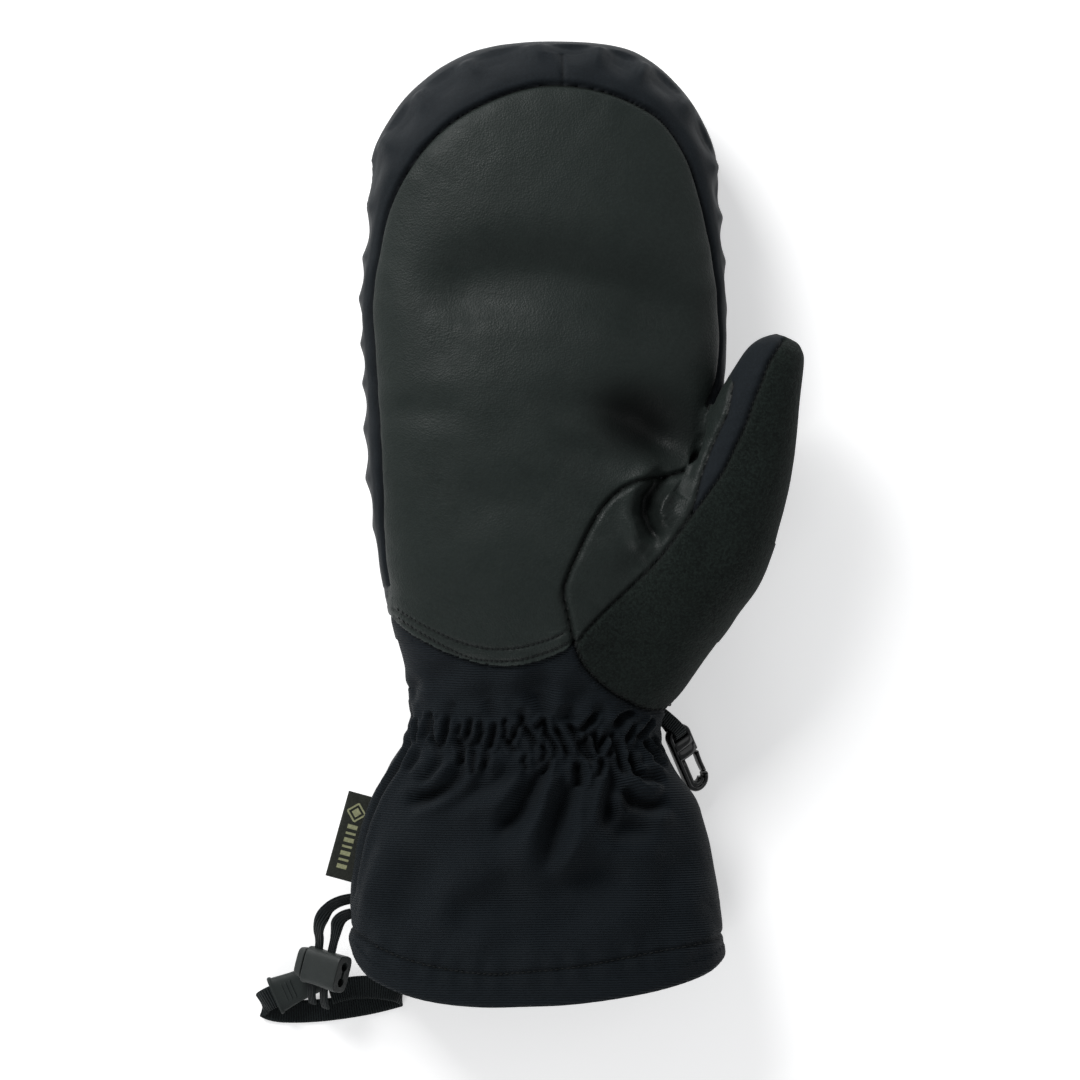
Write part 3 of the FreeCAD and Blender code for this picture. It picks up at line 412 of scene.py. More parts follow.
def smooth_line(points, step=2.0):
    """A Catmull-Rom line through points given in pattern units, sampled in millimetres."""
    p = to_mm(points)
    if len(p) < 3:
        return p
    ext = np.vstack([2 * p[0] - p[1], p, 2 * p[-1] - p[-2]])
    out = []
    for i in range(1, len(ext) - 2):
        a, b, c, d = ext[i - 1], ext[i], ext[i + 1], ext[i + 2]
        n = max(1, int(np.linalg.norm(c - b) / step))
        for k in range(n):
            t = k / n
            out.append(0.5 * ((2 * b) + (c - a) * t + (2 * a - 5 * b + 4 * c - d) * t * t + (3 * b - a - 3 * c + d) * t ** 3))
    out.append(p[-1])
    return np.array(out)


def line_field(xy, line):
    """Distance, arc length, unit direction away from the line, and side, for each point."""
    n = len(xy)
    best, arc, gx, gy, side = np.full(n, 1e9), np.zeros(n), np.zeros(n), np.zeros(n), np.zeros(n)
    acc = 0.0
    for a, b in zip(line[:-1], line[1:]):
        ab = b - a
        length = math.hypot(*ab)
        if length < 1e-9:
            continue
        t = np.clip(((xy - a) @ ab) / length ** 2, 0, 1)
        dx, dy = xy[:, 0] - a[0] - t * ab[0], xy[:, 1] - a[1] - t * ab[1]
        d = np.hypot(dx, dy)
        m = d < best
        best[m], arc[m], gx[m], gy[m] = d[m], acc + t[m] * length, dx[m], dy[m]
        side[m] = np.sign(ab[0] * (xy[m, 1] - a[1]) - ab[1] * (xy[m, 0] - a[0]))
        acc += length
    g = np.maximum(best, 1e-6)
    return best, arc, gx / g, gy / g, side


def inside(xy, poly):
    n = len(xy)
    r = np.zeros(n, bool)
    for a, b in zip(poly, np.roll(poly, -1, axis=0)):
        if a[1] == b[1]:
            continue
        c = ((a[1] > xy[:, 1]) != (b[1] > xy[:, 1])) & (xy[:, 0] < (b[0] - a[0]) * (xy[:, 1] - a[1]) / (b[1] - a[1]) + a[0])
        r ^= c
    return r


def region(xy, poly):
    """Signed distance to a closed outline, positive inside."""
    d = line_field(xy, np.vstack([poly, poly[:1]]))[0]
    return np.where(inside(xy, poly), d, -d)


# ------------------------------------------------------------------ the two forms
HULL = np.array([
    (1012, 352, 724, -3, 52.0, 2.5), (960, 348, 726, -3, 52.0, 2.5), (905, 351, 721, -3, 51.0, 2.5), (850, 359, 713, -3, 50.0, 2.4),
    (800, 373, 698, -2, 48.0, 2.4), (765, 390, 673, 0, 46.0, 2.3), (735, 408, 660, 2.4, 45.2, 2.2), (712, 410, 664, 2.6, 45.6, 2.2),
    (675, 406, 684, 0.0, 50.0, 2.3), (630, 395, 700, -3, 54.5, 2.4), (560, 382, 712, -3, 58.0, 2.4), (470, 368, 718, -3, 59.0, 2.4),
    (380, 366, 722, -3, 58.0, 2.4), (300, 361, 725, -3, 56.5, 2.4), (220, 369, 720, -3, 54.0, 2.4), (160, 373, 716, -3, 51.0, 2.35),
    (110, 396, 696, -1.5, 48.0, 2.3), (80, 423, 672, 1.0, 45.0, 2.25), (60, 453, 648, 4.5, 41.5, 2.2), (48, 488, 622, 9.5, 37.0, 2.15),
    (43.5, 520, 592, 15.0, 31.0, 2.1)])[::-1]
WX, WY = 0.437, 0.8995
BX, BY = (625 - U0) * K, (V0 - 665) * K
THUMB = np.array([
    (-14, -30, 60, 7.0, 44.0), (10, -62, 65, 4.0, 49.0), (45, -80, 69, 2.5, 53.0), (95, -80, 78, 3.5, 57.5), (140, -68, 84, 9.0, 58.5),
    (188, -46, 78, 18.0, 58.0), (230, -38, 69, 23.0, 58.0), (275, -37, 54, 26.5, 58.5), (310, -33, 41, 29.5, 58.5), (335, -30, 32, 32.0, 57.5),
    (352, -21, 25, 35.5, 54.5), (361, -9, 15, 40.0, 50.0)])


def hull_at(v):
    c = [pchip(HULL[:, 0], HULL[:, i], v) for i in range(1, 6)]
    x0, x1 = (c[0] - U0) * K, (c[1] - U0) * K
    return (x0 + x1) / 2, (x1 - x0) / 2, (c[2] + c[3]) / 2, (c[3] - c[2]) / 2, c[4]


def thumb_at(s_mm):
    c = [pchip(THUMB[:, 0] * K, THUMB[:, i], s_mm) for i in range(1, 5)]
    return (c[0] + c[1]) * K / 2, (c[1] - c[0]) * K / 2, (c[2] + c[3]) / 2, (c[3] - c[2]) / 2


def implicit(x, z, c, a, zc, b, n):
    dx, dz = x - c, z - zc
    f = (np.abs(dx / a) ** n + np.abs(dz / b) ** n) ** (1 / n)
    r = np.hypot(dx, dz)
    return np.where(f > 1e-6, r * (1 - 1 / np.maximum(f, 1e-6)), -np.minimum(a, b))


def hull_dist(p):
    v = np.clip(V0 - p[:, 1] / K, 43.5, 1012)
    return implicit(p[:, 0], p[:, 2], *hull_at(v))


def thumb_sq(p):
    return (p[:, 0] - BX) * WX + (p[:, 1] - BY) * WY, (p[:, 0] - BX) * WY - (p[:, 1] - BY) * WX


def thumb_dist(p):
    s, q = thumb_sq(p)
    c, a, zc, b = thumb_at(np.clip(s, -14 * K, 361 * K))
    return implicit(q, p[:, 2], c, a, zc, b, 2.2)


def tube(rows, around, place):
    """Closed grid mesh from rows of rings, with fans at its ends."""
    verts, faces = [], []
    for r in rows:
        verts += place(r)
    n = around
    for i in range(len(rows) - 1):
        for k in range(n):
            m = (k + 1) % n
            faces.append((i * n + k, i * n + m, (i + 1) * n + m, (i + 1) * n + k))
    a, b = len(verts), len(verts) + 1
    verts.append(tuple(np.mean(np.array(verts[:n]), axis=0)))
    verts.append(tuple(np.mean(np.array(verts[len(rows) * n - n:len(rows) * n]), axis=0)))
    for k in range(n):
        m = (k + 1) % n
        faces.append((m, k, a))
        faces.append(((len(rows) - 1) * n + k, (len(rows) - 1) * n + m, b))
    return verts, faces


def hull_ring(v, inset=0.0, n=96, zmin=0.0):
    c, a, zc, b, e = [float(x) for x in hull_at(v)]
    a, b = a - inset, b - inset
    t = 2 * np.pi * (np.arange(n) + 0.5) / n
    x = c + a * np.sign(np.cos(t)) * np.abs(np.cos(t)) ** (2 / e)
    z = np.maximum(zc + b * np.sign(np.sin(t)) * np.abs(np.sin(t)) ** (2 / e), zmin)
    y = (V0 - v) * K
    return [(float(p), y, float(q)) for p, q in zip(x, z)]


def union_form():
    vs = list(np.arange(1018, 160, -6.0)) + list(np.linspace(160, 43.5, 34))
    hv, hf = tube(vs, 96, hull_ring)
    ss = list(np.linspace(-14 * K, 361 * K, 84))

    def ring(s):
        c, a, zc, b = [float(x) for x in thumb_at(s)]
        t = 2 * np.pi * (np.arange(64) + 0.5) / 64
        q = c + a * np.sign(np.cos(t)) * np.abs(np.cos(t)) ** (2 / 2.2)
        z = zc + b * np.sign(np.sin(t)) * np.abs(np.sin(t)) ** (2 / 2.2)
        return [(BX + WX * s + WY * float(w), BY + WY * s - WX * float(w), float(h)) for w, h in zip(q, z)]

    tv, tf = tube(ss, 64, ring)
    p = np.array(tv)
    for _ in range(6):  # the thumb's inner side keeps clear of the hand above the crotch
        s, q = thumb_sq(p)
        gap = smooth01(s, 55, 68) * 3.6
        d = hull_dist(p)
        c, a, zc, b, e = hull_at(np.clip(V0 - p[:, 1] / K, 43.5, 1012))
        gx, gz = (p[:, 0] - c) / a, (p[:, 2] - zc) / b
        gl = np.maximum(np.hypot(gx, gz), 1e-6)
        push = np.where(s > 55, np.maximum(gap - d, 0), 0)
        p[:, 0] += push * gx / gl * 0.9
        p[:, 2] += push * gz / gl * 0.4
    tv = [tuple(q) for q in p]
    n = len(hv)
    me = bpy.data.meshes.new("form")
    me.from_pydata([tuple(np.array(v) * MM) for v in hv + tv], [], hf + [tuple(i + n for i in f) for f in tf])
    me.update()
    o = bpy.data.objects.new("form", me)
    scene.collection.objects.link(o)
    m = o.modifiers.new("r", "REMESH")
    m.mode, m.voxel_size = "VOXEL", 0.00155
    dg = bpy.context.evaluated_depsgraph_get()
    r = bpy.data.meshes.new_from_object(o.evaluated_get(dg))
    bpy.data.objects.remove(o)
    return r


def arrays(me):
    v = np.zeros(len(me.vertices) * 3)
    me.vertices.foreach_get("co", v)
    v = v.reshape(-1, 3) / MM
    quads = np.array([tuple(p.vertices) for p in me.polygons if len(p.vertices) == 4], int)
    tris = np.array([tuple(p.vertices) for p in me.polygons if len(p.vertices) == 3], int).reshape(-1, 3)
    e = np.zeros(len(me.edges) * 2, int)
    me.edges.foreach_get("vertices", e)
    return v, quads, tris, e.reshape(-1, 2)


def laplace(v, e, weight, times, taubin=False):
    deg = np.bincount(e.ravel(), minlength=len(v))[:, None]
    w = np.asarray(weight).reshape(-1, 1)
    for k in range(times):
        acc = np.zeros_like(v)
        for i in range(3):
            acc[:, i] = np.bincount(e[:, 0], v[e[:, 1], i], len(v)) + np.bincount(e[:, 1], v[e[:, 0], i], len(v))
        step = acc / np.maximum(deg, 1) - v
        v = v + step * w * (0.5 if not (taubin and k % 2) else -0.52)
    return v


raw = union_form()
P, quads, tris, E = arrays(raw)
P = laplace(P, E, np.ones(len(P)), 12, taubin=True)
dh, dt = np.abs(hull_dist(P)), np.abs(thumb_dist(P))
s_, q_ = thumb_sq(P)
crotch = np.exp(-((dh + dt) / 5.5) ** 2) * (1 - smooth01(s_, 66, 78))
P = laplace(P, E, np.clip(crotch * 1.3, 0, 1), 46)
P[:, 2] = np.maximum(P[:, 2], 0.05)
for i, c in enumerate((P * MM).astype(np.float32)):
    pass
raw.vertices.foreach_set("co", (P * MM).astype(np.float32).ravel())
raw.update()
tmp = bpy.data.objects.new("tmp", raw)
scene.collection.objects.link(tmp)
sub = tmp.modifiers.new("s", "SUBSURF")
sub.levels = sub.render_levels = 1
fine = bpy.data.meshes.new_from_object(tmp.evaluated_get(bpy.context.evaluated_depsgraph_get()))
bpy.data.objects.remove(tmp)
P, quads, tris, E = arrays(fine)
F = np.vstack([quads[:, [0, 1, 2]], quads[:, [0, 2, 3]]] + ([tris] if len(tris) else []))
print("fine form", len(P), len(F))


def normals(v, f):
    n = np.cross(v[f[:, 1]] - v[f[:, 0]], v[f[:, 2]] - v[f[:, 0]])
    out = np.zeros_like(v)
    for k in range(3):
        for i in range(3):
            out[:, i] += np.bincount(f[:, k], n[:, i], len(v))
    return out / np.maximum(np.linalg.norm(out, axis=1, keepdims=True), 1e-9)


N = normals(P, F)
if np.mean((N * (P - P.mean(axis=0))).sum(axis=1)) < 0:
    F = F[:, ::-1].copy()
    N = -N

# ------------------------------------------------------------------ seam lines
PALM_TOP = [(391, 583), (385, 530), (382, 440), (377, 363), (373, 304), (380, 253), (392, 207), (416, 166), (447, 132), (490, 106), (538, 91),
            (586, 93), (629, 106), (664, 128), (688, 166), (704, 218), (715, 277), (719, 336), (715, 379), (707, 406), (703, 440), (690, 466), (664, 478)]
GUSSET = [(664, 478), (642, 480.5), (624, 487), (605, 503), (590, 526), (578, 551), (568, 573), (563, 592), (568, 616), (573, 640)]
PALM_LOW = [(573, 640), (562, 648), (546, 656), (527, 661), (506, 663.4), (479, 660.7), (455, 653), (431, 642), (409, 629), (391, 612)]
OUTER_SEAM = [(578, 637), (592, 621), (611, 602), (629, 586), (648, 567), (664, 549), (678, 530), (688, 516), (703, 496), (719, 473), (731, 448),
              (741, 427), (749, 404), (757, 384), (764, 366), (779, 343)]
SIDE_SEAM = [(688, 516), (693, 499), (698, 478), (706, 455), (716, 432), (724, 414), (729, 386)]
THUMB_LOW = [(573, 641), (581, 661), (594, 677), (611, 691), (624, 699), (640, 707), (659, 711), (675, 706)]
HEM = [(330, 915), (346, 940), (351, 953), (361, 966), (377, 978), (409, 990), (445, 997), (485, 1000), (532, 999), (572, 997), (621, 991), (664, 983), (704, 971),
       (726, 958), (760, 935)]
HEM_STITCH = [(346, 925), (376, 941), (406, 953), (450, 963), (494, 967), (532, 964), (573, 960), (614, 953), (655, 946), (707, 938), (726, 932)]
L_top, L_gus, L_low = smooth_line(PALM_TOP), smooth_line(GUSSET), smooth_line(PALM_LOW)
L_out, L_side, L_tlow = smooth_line(OUTER_SEAM), smooth_line(SIDE_SEAM), smooth_line(THUMB_LOW)
L_hem, L_hst = smooth_line(HEM), smooth_line(HEM_STITCH)
ROW1 = smooth_line([(398, 616), (420, 630), (447, 645), (469, 655), (495, 659), (522, 657), (549, 649), (570, 639)], 1.0)
ROW2 = smooth_line([(397, 607.5), (420, 621), (447, 634.5), (469, 642.5), (495, 647), (522, 645), (549, 637), (566, 629)], 1.0)
L_tip = to_mm([(560, 20), (561, 54), (563, 91)])
POLY_PALM = np.vstack([L_top, L_gus[1:], L_low[1:]])
POLY_SUEDE = np.vstack([L_out, to_mm([(790, 300), (950, 300), (950, 720), (680, 712)]), L_tlow[::-1]])
POLY_LEATHER = np.vstack([L_side, to_mm([(725, 370), (560, 420), (560, 620)])])
POLY_GUSSET = np.vstack([L_gus[::-1], to_mm([(690, 466), (707, 445), (720, 440), (731, 448)]), smooth_line(OUTER_SEAM[:11])[::-1]])
POLY_WEDGE = np.vstack([L_side, to_mm([(735, 340), (764, 325), (790, 325)]), smooth_line(OUTER_SEAM[7:])[::-1]])
POLY_HEEL = np.vstack([to_mm([(300, 612)]), L_low[::-1], L_tlow[1:], to_mm([(900, 720), (900, 1100), (300, 1100)])])

XY = P[:, :2]
u, v = P[:, 0] / K + U0, V0 - P[:, 1] / K
s_, q_ = thumb_sq(P)
dh, dt = hull_dist(P), thumb_dist(P)
on_thumb = np.abs(dh) - np.abs(dt)
top = P[:, 2] > 20
TZ = smooth01(N[:, 2], -0.2, 0.15)


def true_dist(d, gx, gy):
    """A distance in plan, made longer where the surface is steep across the line."""
    c = N[:, 0] * gx + N[:, 1] * gy
    return d / np.sqrt(np.maximum(1 - c * c, 0.06))


f_top, f_gus, f_low, f_out, f_side, f_tlow, f_hst, f_tip = [line_field(XY, l) for l in (L_top, L_gus, L_low, L_out, L_side, L_tlow, L_hst, L_tip)]
r_palm, r_suede, r_leather, r_gusset, r_heel, r_wedge = [region(XY, q) for q in (POLY_PALM, POLY_SUEDE, POLY_LEATHER, POLY_GUSSET, POLY_HEEL, POLY_WEDGE)]
hem_d, hem_arc, hgx, hgy, hem_side = line_field(XY, L_hem)
r_hem = np.where(hem_side > 0, hem_d, -hem_d)  # positive on the finger side

# ------------------------------------------------------------------ surface relief, in millimetres along the normal, and painted shade
off = np.zeros(len(P))
# painted shade, 0 to 1, for the seams, folds and hollows below; the materials darken by it
painted_shade = np.zeros(len(P))
hand_top = (on_thumb < 1.5) | (s_ < 60)
thumbish = (on_thumb > -0.5) & (s_ > 56)


def groove(field, mask, depth, width, puff=0.0, reach=6.0, pucker=0.0, pitch=7.0, seed=0.0, dark=0.9):
    """A sewn seam: a narrow valley with puffed sides and small puckers along it, and painted shade in the valley set by
    dark.
    """
    global off, painted_shade
    d = true_dist(field[0], field[2], field[3])
    m = mask.astype(float)
    off -= m * depth * np.exp(-(d / width) ** 2)
    if puff:
        off += m * puff * (d / reach) * np.exp(1 - d / reach) * (d < reach * 6)
    if pucker:
        t = field[1]
        ph = noise3(np.stack([t, t * 0 + seed, t * 0], 1), pitch * 1.3) * 2.2
        wave = np.sin(2 * np.pi * t / pitch + ph)
        off += m * pucker * wave * np.exp(-(d / (pitch * 0.55)) ** 2) * (1 - np.exp(-(d / 1.1) ** 2))
    # painted shade in the seam's valley
    painted_shade = np.maximum(painted_shade, m * dark * np.exp(-(d / (width * 0.8)) ** 2))


upper = P[:, 2] > 24
groove(f_top, upper & hand_top & (v < 640), 1.6, 0.9, 0.6, 4.5, 0.13, 15.0, 1.0, 1.0)
groove(f_gus, upper & (s_ < 74), 1.5, 0.9, 0.5, 3.0, 0.14, 9.0, 2.0, 1.0)
groove(f_tlow, upper & (v > 630), 1.3, 0.9, 0.45, 3.0, 0.3, 5.0, 3.0, 1.0)
groove(f_out, (P[:, 2] > 24) & ((s_ < 66) | thumbish), 1.0, 0.8, 0.3, 3.0, 0.22, 6.0, 4.0)
groove(f_side, (P[:, 2] > 30) & thumbish, 0.7, 0.8, 0.2, 2.0, 0.15, 6.0, 5.0)
groove(f_tip, upper & (v < 92) & (v > 58), 0.45, 0.7, 0.2, 3.0, 0.0, 6.0, 6.0, 0.8)
# seam down the sides
side_d = np.abs(P[:, 2] - 20.0)
side_m = (np.abs(N[:, 2]) < 0.93) & (s_ < 70)
off -= side_m * 1.0 * np.exp(-(side_d / 1.0) ** 2)
side_wave = np.sin(2 * np.pi * (P[:, 1] + 0.4 * P[:, 0]) / 17.0 + 2.4 * noise3(P * [1, 1, 0], 30.0))
# painted shade in the side seam
painted_shade = np.maximum(painted_shade, side_m * 0.8 * np.exp(-(side_d / 0.9) ** 2))

# puffed band round the fingers: the outline is wavy
band = (r_palm < 0) & (v < 640) & (P[:, 2] > 6) & hand_top
bd = true_dist(f_top[0], f_top[2], f_top[3])
t = f_top[1]
wave = 1 - 1.9 * np.sqrt(np.sin(np.pi * t / 16.5 + 1.1 * noise3(np.stack([t, t * 0 + 9, t * 0], 1), 30.0)) ** 2 + 0.02)
swell = 0.75 + 0.65 * (1 - smooth01(v, 150, 260))
off += band * smooth01(bd, 1.5, 5.0) * 0.3 + band * smooth01(bd, 5.0, 15.0) * (1 - smooth01(bd, 22, 34)) * swell * wave
off += (np.abs(P[:, 2] - 24) < 22) * (r_palm < 0) * (v < 640) * (s_ < 60) * 0.12 * side_wave * smooth01(-r_palm, 2, 6)


def dent(cu, cv, ru, rv, angle, depth, sharp=2.0, mask=None):
    """A smooth hollow (or swelling where depth is negative) on the upper side; sizes in pattern units."""
    global off
    a = math.radians(angle)
    x, y = u - cu, v - cv
    p, q = (x * math.cos(a) + y * math.sin(a)) / ru, (-x * math.sin(a) + y * math.cos(a)) / rv
    w = np.exp(-(p * p + q * q) ** (sharp / 2))
    off -= depth * w * TZ * (P[:, 2] > 22) * (1.0 if mask is None else mask)


def fold(points, width, depth, ends=0.35, dark=0.0, mask=None, ridge=0.35, line=None):
    """A valley along a line that fades at its ends, with a soft ridge on each side; dark paints shade into the valley.
    """
    global off, painted_shade
    l = smooth_line(points, 3.0) if line is None else line
    lo, hi = l.min(axis=0) - width * 5, l.max(axis=0) + width * 5
    m = (XY[:, 0] > lo[0]) & (XY[:, 0] < hi[0]) & (XY[:, 1] > lo[1]) & (XY[:, 1] < hi[1]) & (P[:, 2] > 20)
    if mask is not None:
        m &= mask
    i = np.nonzero(m)[0]
    if not len(i):
        return
    d, arc, gx, gy, _ = line_field(XY[i], l)
    total = np.sum(np.hypot(*np.diff(l, axis=0).T))
    c = N[i, 0] * gx + N[i, 1] * gy
    d = d / np.sqrt(np.maximum(1 - c * c, 0.1))
    x = arc / total
    w = smooth01(x, 0, ends) * (1 - smooth01(x, 1 - ends, 1)) if ends > 0 else 1.0
    prof = np.exp(-(d / width) ** 2)
    off[i] += w * depth * (ridge * np.exp(-((d - width * 2.1) / width) ** 2) - prof)
    # painted shade along the valley
    painted_shade[i] = np.maximum(painted_shade[i], w * dark * np.exp(-(d / (width * 0.7)) ** 2))


hand_m = hand_top & (P[:, 2] > 22)
# palm: a broad valley across the middle, a deep hollow by the crotch and soft swells between them
fold([(396, 298), (440, 284), (500, 276), (560, 278), (620, 292), (668, 316), (706, 346)], 9.5, 4.0, 0.25, mask=hand_m, ridge=0.1)
fold([(396, 330), (460, 320), (540, 318), (620, 332), (690, 366)], 15.0, 2.4, 0.25, mask=hand_m, ridge=0.0)
fold([(400, 286), (440, 300), (500, 306), (560, 318)], 5.0, 0.7, 0.45, mask=hand_m)
dent(520, 165, 130, 55, 0, -1.4, mask=hand_m)
dent(500, 400, 120, 70, 10, -1.4, mask=hand_m)
dent(480, 560, 110, 60, 0, -1.0, mask=hand_m)
dent(630, 352, 70, 18, 14, -1.0, mask=hand_m)
dent(646, 426, 44, 32, 22, 8.0, 2.4, mask=hand_m)
dent(668, 446, 26, 20, 30, 3.0, mask=hand_m)
dent(592, 412, 50, 18, 10, 1.6, mask=hand_m)
fold([(640, 458), (605, 462), (572, 448), (545, 432)], 4.5, 1.2, 0.45, mask=hand_m)
fold([(384, 420), (430, 412), (480, 418)], 5.0, 0.7, 0.45, mask=hand_m)
fold([(440, 505), (500, 500), (560, 512)], 7.0, 0.8, 0.45, mask=hand_m)
# painted shade filling the deep hollow by the crotch
shade = np.exp(-((((u - 646) * 0.93 + (v - 424) * 0.37) / 52) ** 2 + ((-(u - 646) * 0.37 + (v - 424) * 0.93) / 36) ** 2) ** 1.3)
painted_shade = np.maximum(painted_shade, 0.97 * shade * hand_m)
# painted shade along the arch of the palm's broad valley
arch_f = line_field(XY, smooth_line([(420, 268), (470, 256), (540, 254), (610, 264), (668, 292), (704, 330)], 3.0))
painted_shade = np.maximum(painted_shade, 0.2 * np.exp(-(arch_f[0] / 12.0) ** 2) * hand_m * smooth01(u, 400, 500))
# painted shade over the right part of the palm
right_dim = np.exp(-(((u - 660) / 60) ** 2 + ((v - 320) / 60) ** 2))
painted_shade = np.maximum(painted_shade, 0.2 * right_dim * hand_m)
# gusset between palm and thumb, with painted shade in its folds
dent(622, 536, 20, 44, 38, -1.2)
fold([(672, 474), (656, 484), (646, 498), (643, 514), (650, 532), (664, 544)], 2.9, 4.6, 0.25, 0.85, ridge=0.5)
fold([(655, 492), (636, 504), (624, 524)], 3.6, 1.5, 0.4, 0.2)
fold([(668, 512), (655, 545), (632, 572), (610, 590)], 4.2, 1.2, 0.45, 0.1)
# painted shade in the gusset's dark crescent
shade = np.exp(-(((u - 655) / 15) ** 2 + ((v - 508) / 24) ** 2) ** 1.2)
painted_shade = np.maximum(painted_shade, 0.6 * shade * (P[:, 2] > 30) * (r_suede < 0))
# thumb
fold([(722, 440), (740, 452), (760, 450), (775, 440)], 5.0, 0.9, 0.45, mask=thumbish)
fold([(690, 530), (712, 548), (735, 552)], 5.5, 0.9, 0.45)
dent(700, 610, 40, 55, 40, -1.0)
# heel above the gathers, with painted shade in each fold
for pts, w, dp in (([(424, 690), (440, 672), (470, 664)], 3.6, 1.0), ([(520, 706), (535, 688), (556, 668)], 4.4, 2.4), ([(566, 706), (580, 690), (596, 684)], 4.0, 1.5),
                   ([(414, 706), (412, 690), (420, 672)], 3.0, 1.6), ([(480, 706), (486, 694), (500, 684)], 3.5, 1.0), ([(610, 712), (622, 704), (640, 708)], 3.0, 1.0)):
    fold(pts, w, dp, 0.4, 0.2)

# gathered wrist: short slanting folds that meet in points between the rows of elastic, each with painted shade in it
r2 = np.random.default_rng(5)
for pts, w, dp in (
        ([(431, 708), (428, 726), (425, 741)], 1.0, 2.0), ([(436, 714), (432, 732), (442, 751)], 0.9, 2.0), ([(449, 711), (446, 728), (442, 748)], 1.0, 2.4),
        ([(455, 733), (463, 748), (461, 766)], 1.1, 2.6), ([(472, 714), (469, 730), (463, 744)], 1.0, 2.2), ([(474, 746), (475, 758), (474, 775)], 1.0, 1.6),
        ([(480, 716), (483, 730), (477, 744)], 0.9, 1.5), ([(497, 718), (493, 734), (489, 750)], 1.0, 2.2), ([(503, 730), (511, 743), (517, 751)], 0.9, 1.8),
        ([(507, 714), (504, 724), (508, 734)], 0.8, 1.4), ([(521, 710), (523, 722), (533, 736), (538, 748)], 1.0, 2.6), ([(519, 720), (514, 733), (509, 744)], 0.9, 1.8),
        ([(533, 728), (543, 719), (546, 732), (555, 744), (560, 756)], 1.0, 2.6), ([(541, 738), (546, 750), (543, 762)], 0.9, 1.8),
        ([(553, 722), (558, 732), (565, 746), (570, 758)], 1.0, 2.4), ([(567, 720), (575, 732), (580, 746), (584, 756)], 1.0, 2.8), ([(575, 730), (582, 727), (590, 720), (599, 708)], 1.0, 2.2),
        ([(587, 729), (583, 741), (587, 752), (594, 762)], 1.1, 3.0), ([(591, 727), (595, 738), (598, 749), (603, 737), (610, 728)], 1.0, 2.8),
        ([(611, 729), (613, 742), (607, 756)], 1.0, 2.6), ([(617, 734), (617, 750), (620, 762), (627, 777)], 1.1, 3.0), ([(624, 744), (629, 730), (634, 719)], 0.9, 2.0),
        ([(631, 748), (629, 760), (634, 771), (645, 775)], 1.2, 3.0), ([(634, 738), (641, 731), (653, 716)], 0.9, 2.0), ([(641, 737), (647, 748), (656, 757)], 0.9, 2.2),
        ([(650, 734), (656, 747), (664, 757)], 0.9, 2.0), ([(612, 728), (622, 716), (636, 711)], 1.2, 2.0), ([(417, 716), (418, 730), (415, 744)], 0.9, 1.6),
        ([(463, 720), (459, 731), (464, 741)], 0.8, 1.3), ([(485, 745), (489, 756), (485, 768)], 0.9, 1.4), ([(528, 750), (524, 760), (529, 770)], 0.9, 1.4),
        ([(599, 752), (601, 764), (598, 776)], 1.0, 2.0), ([(551, 752), (548, 764), (541, 772)], 0.9, 1.8), ([(577, 758), (580, 772), (579, 786)], 1.5, 3.4)):
    fold([(x + r2.uniform(-0.6, 0.6), y + r2.uniform(-0.6, 0.6)) for x, y in pts], w, dp, 0.22, 0.85, ridge=0.55)
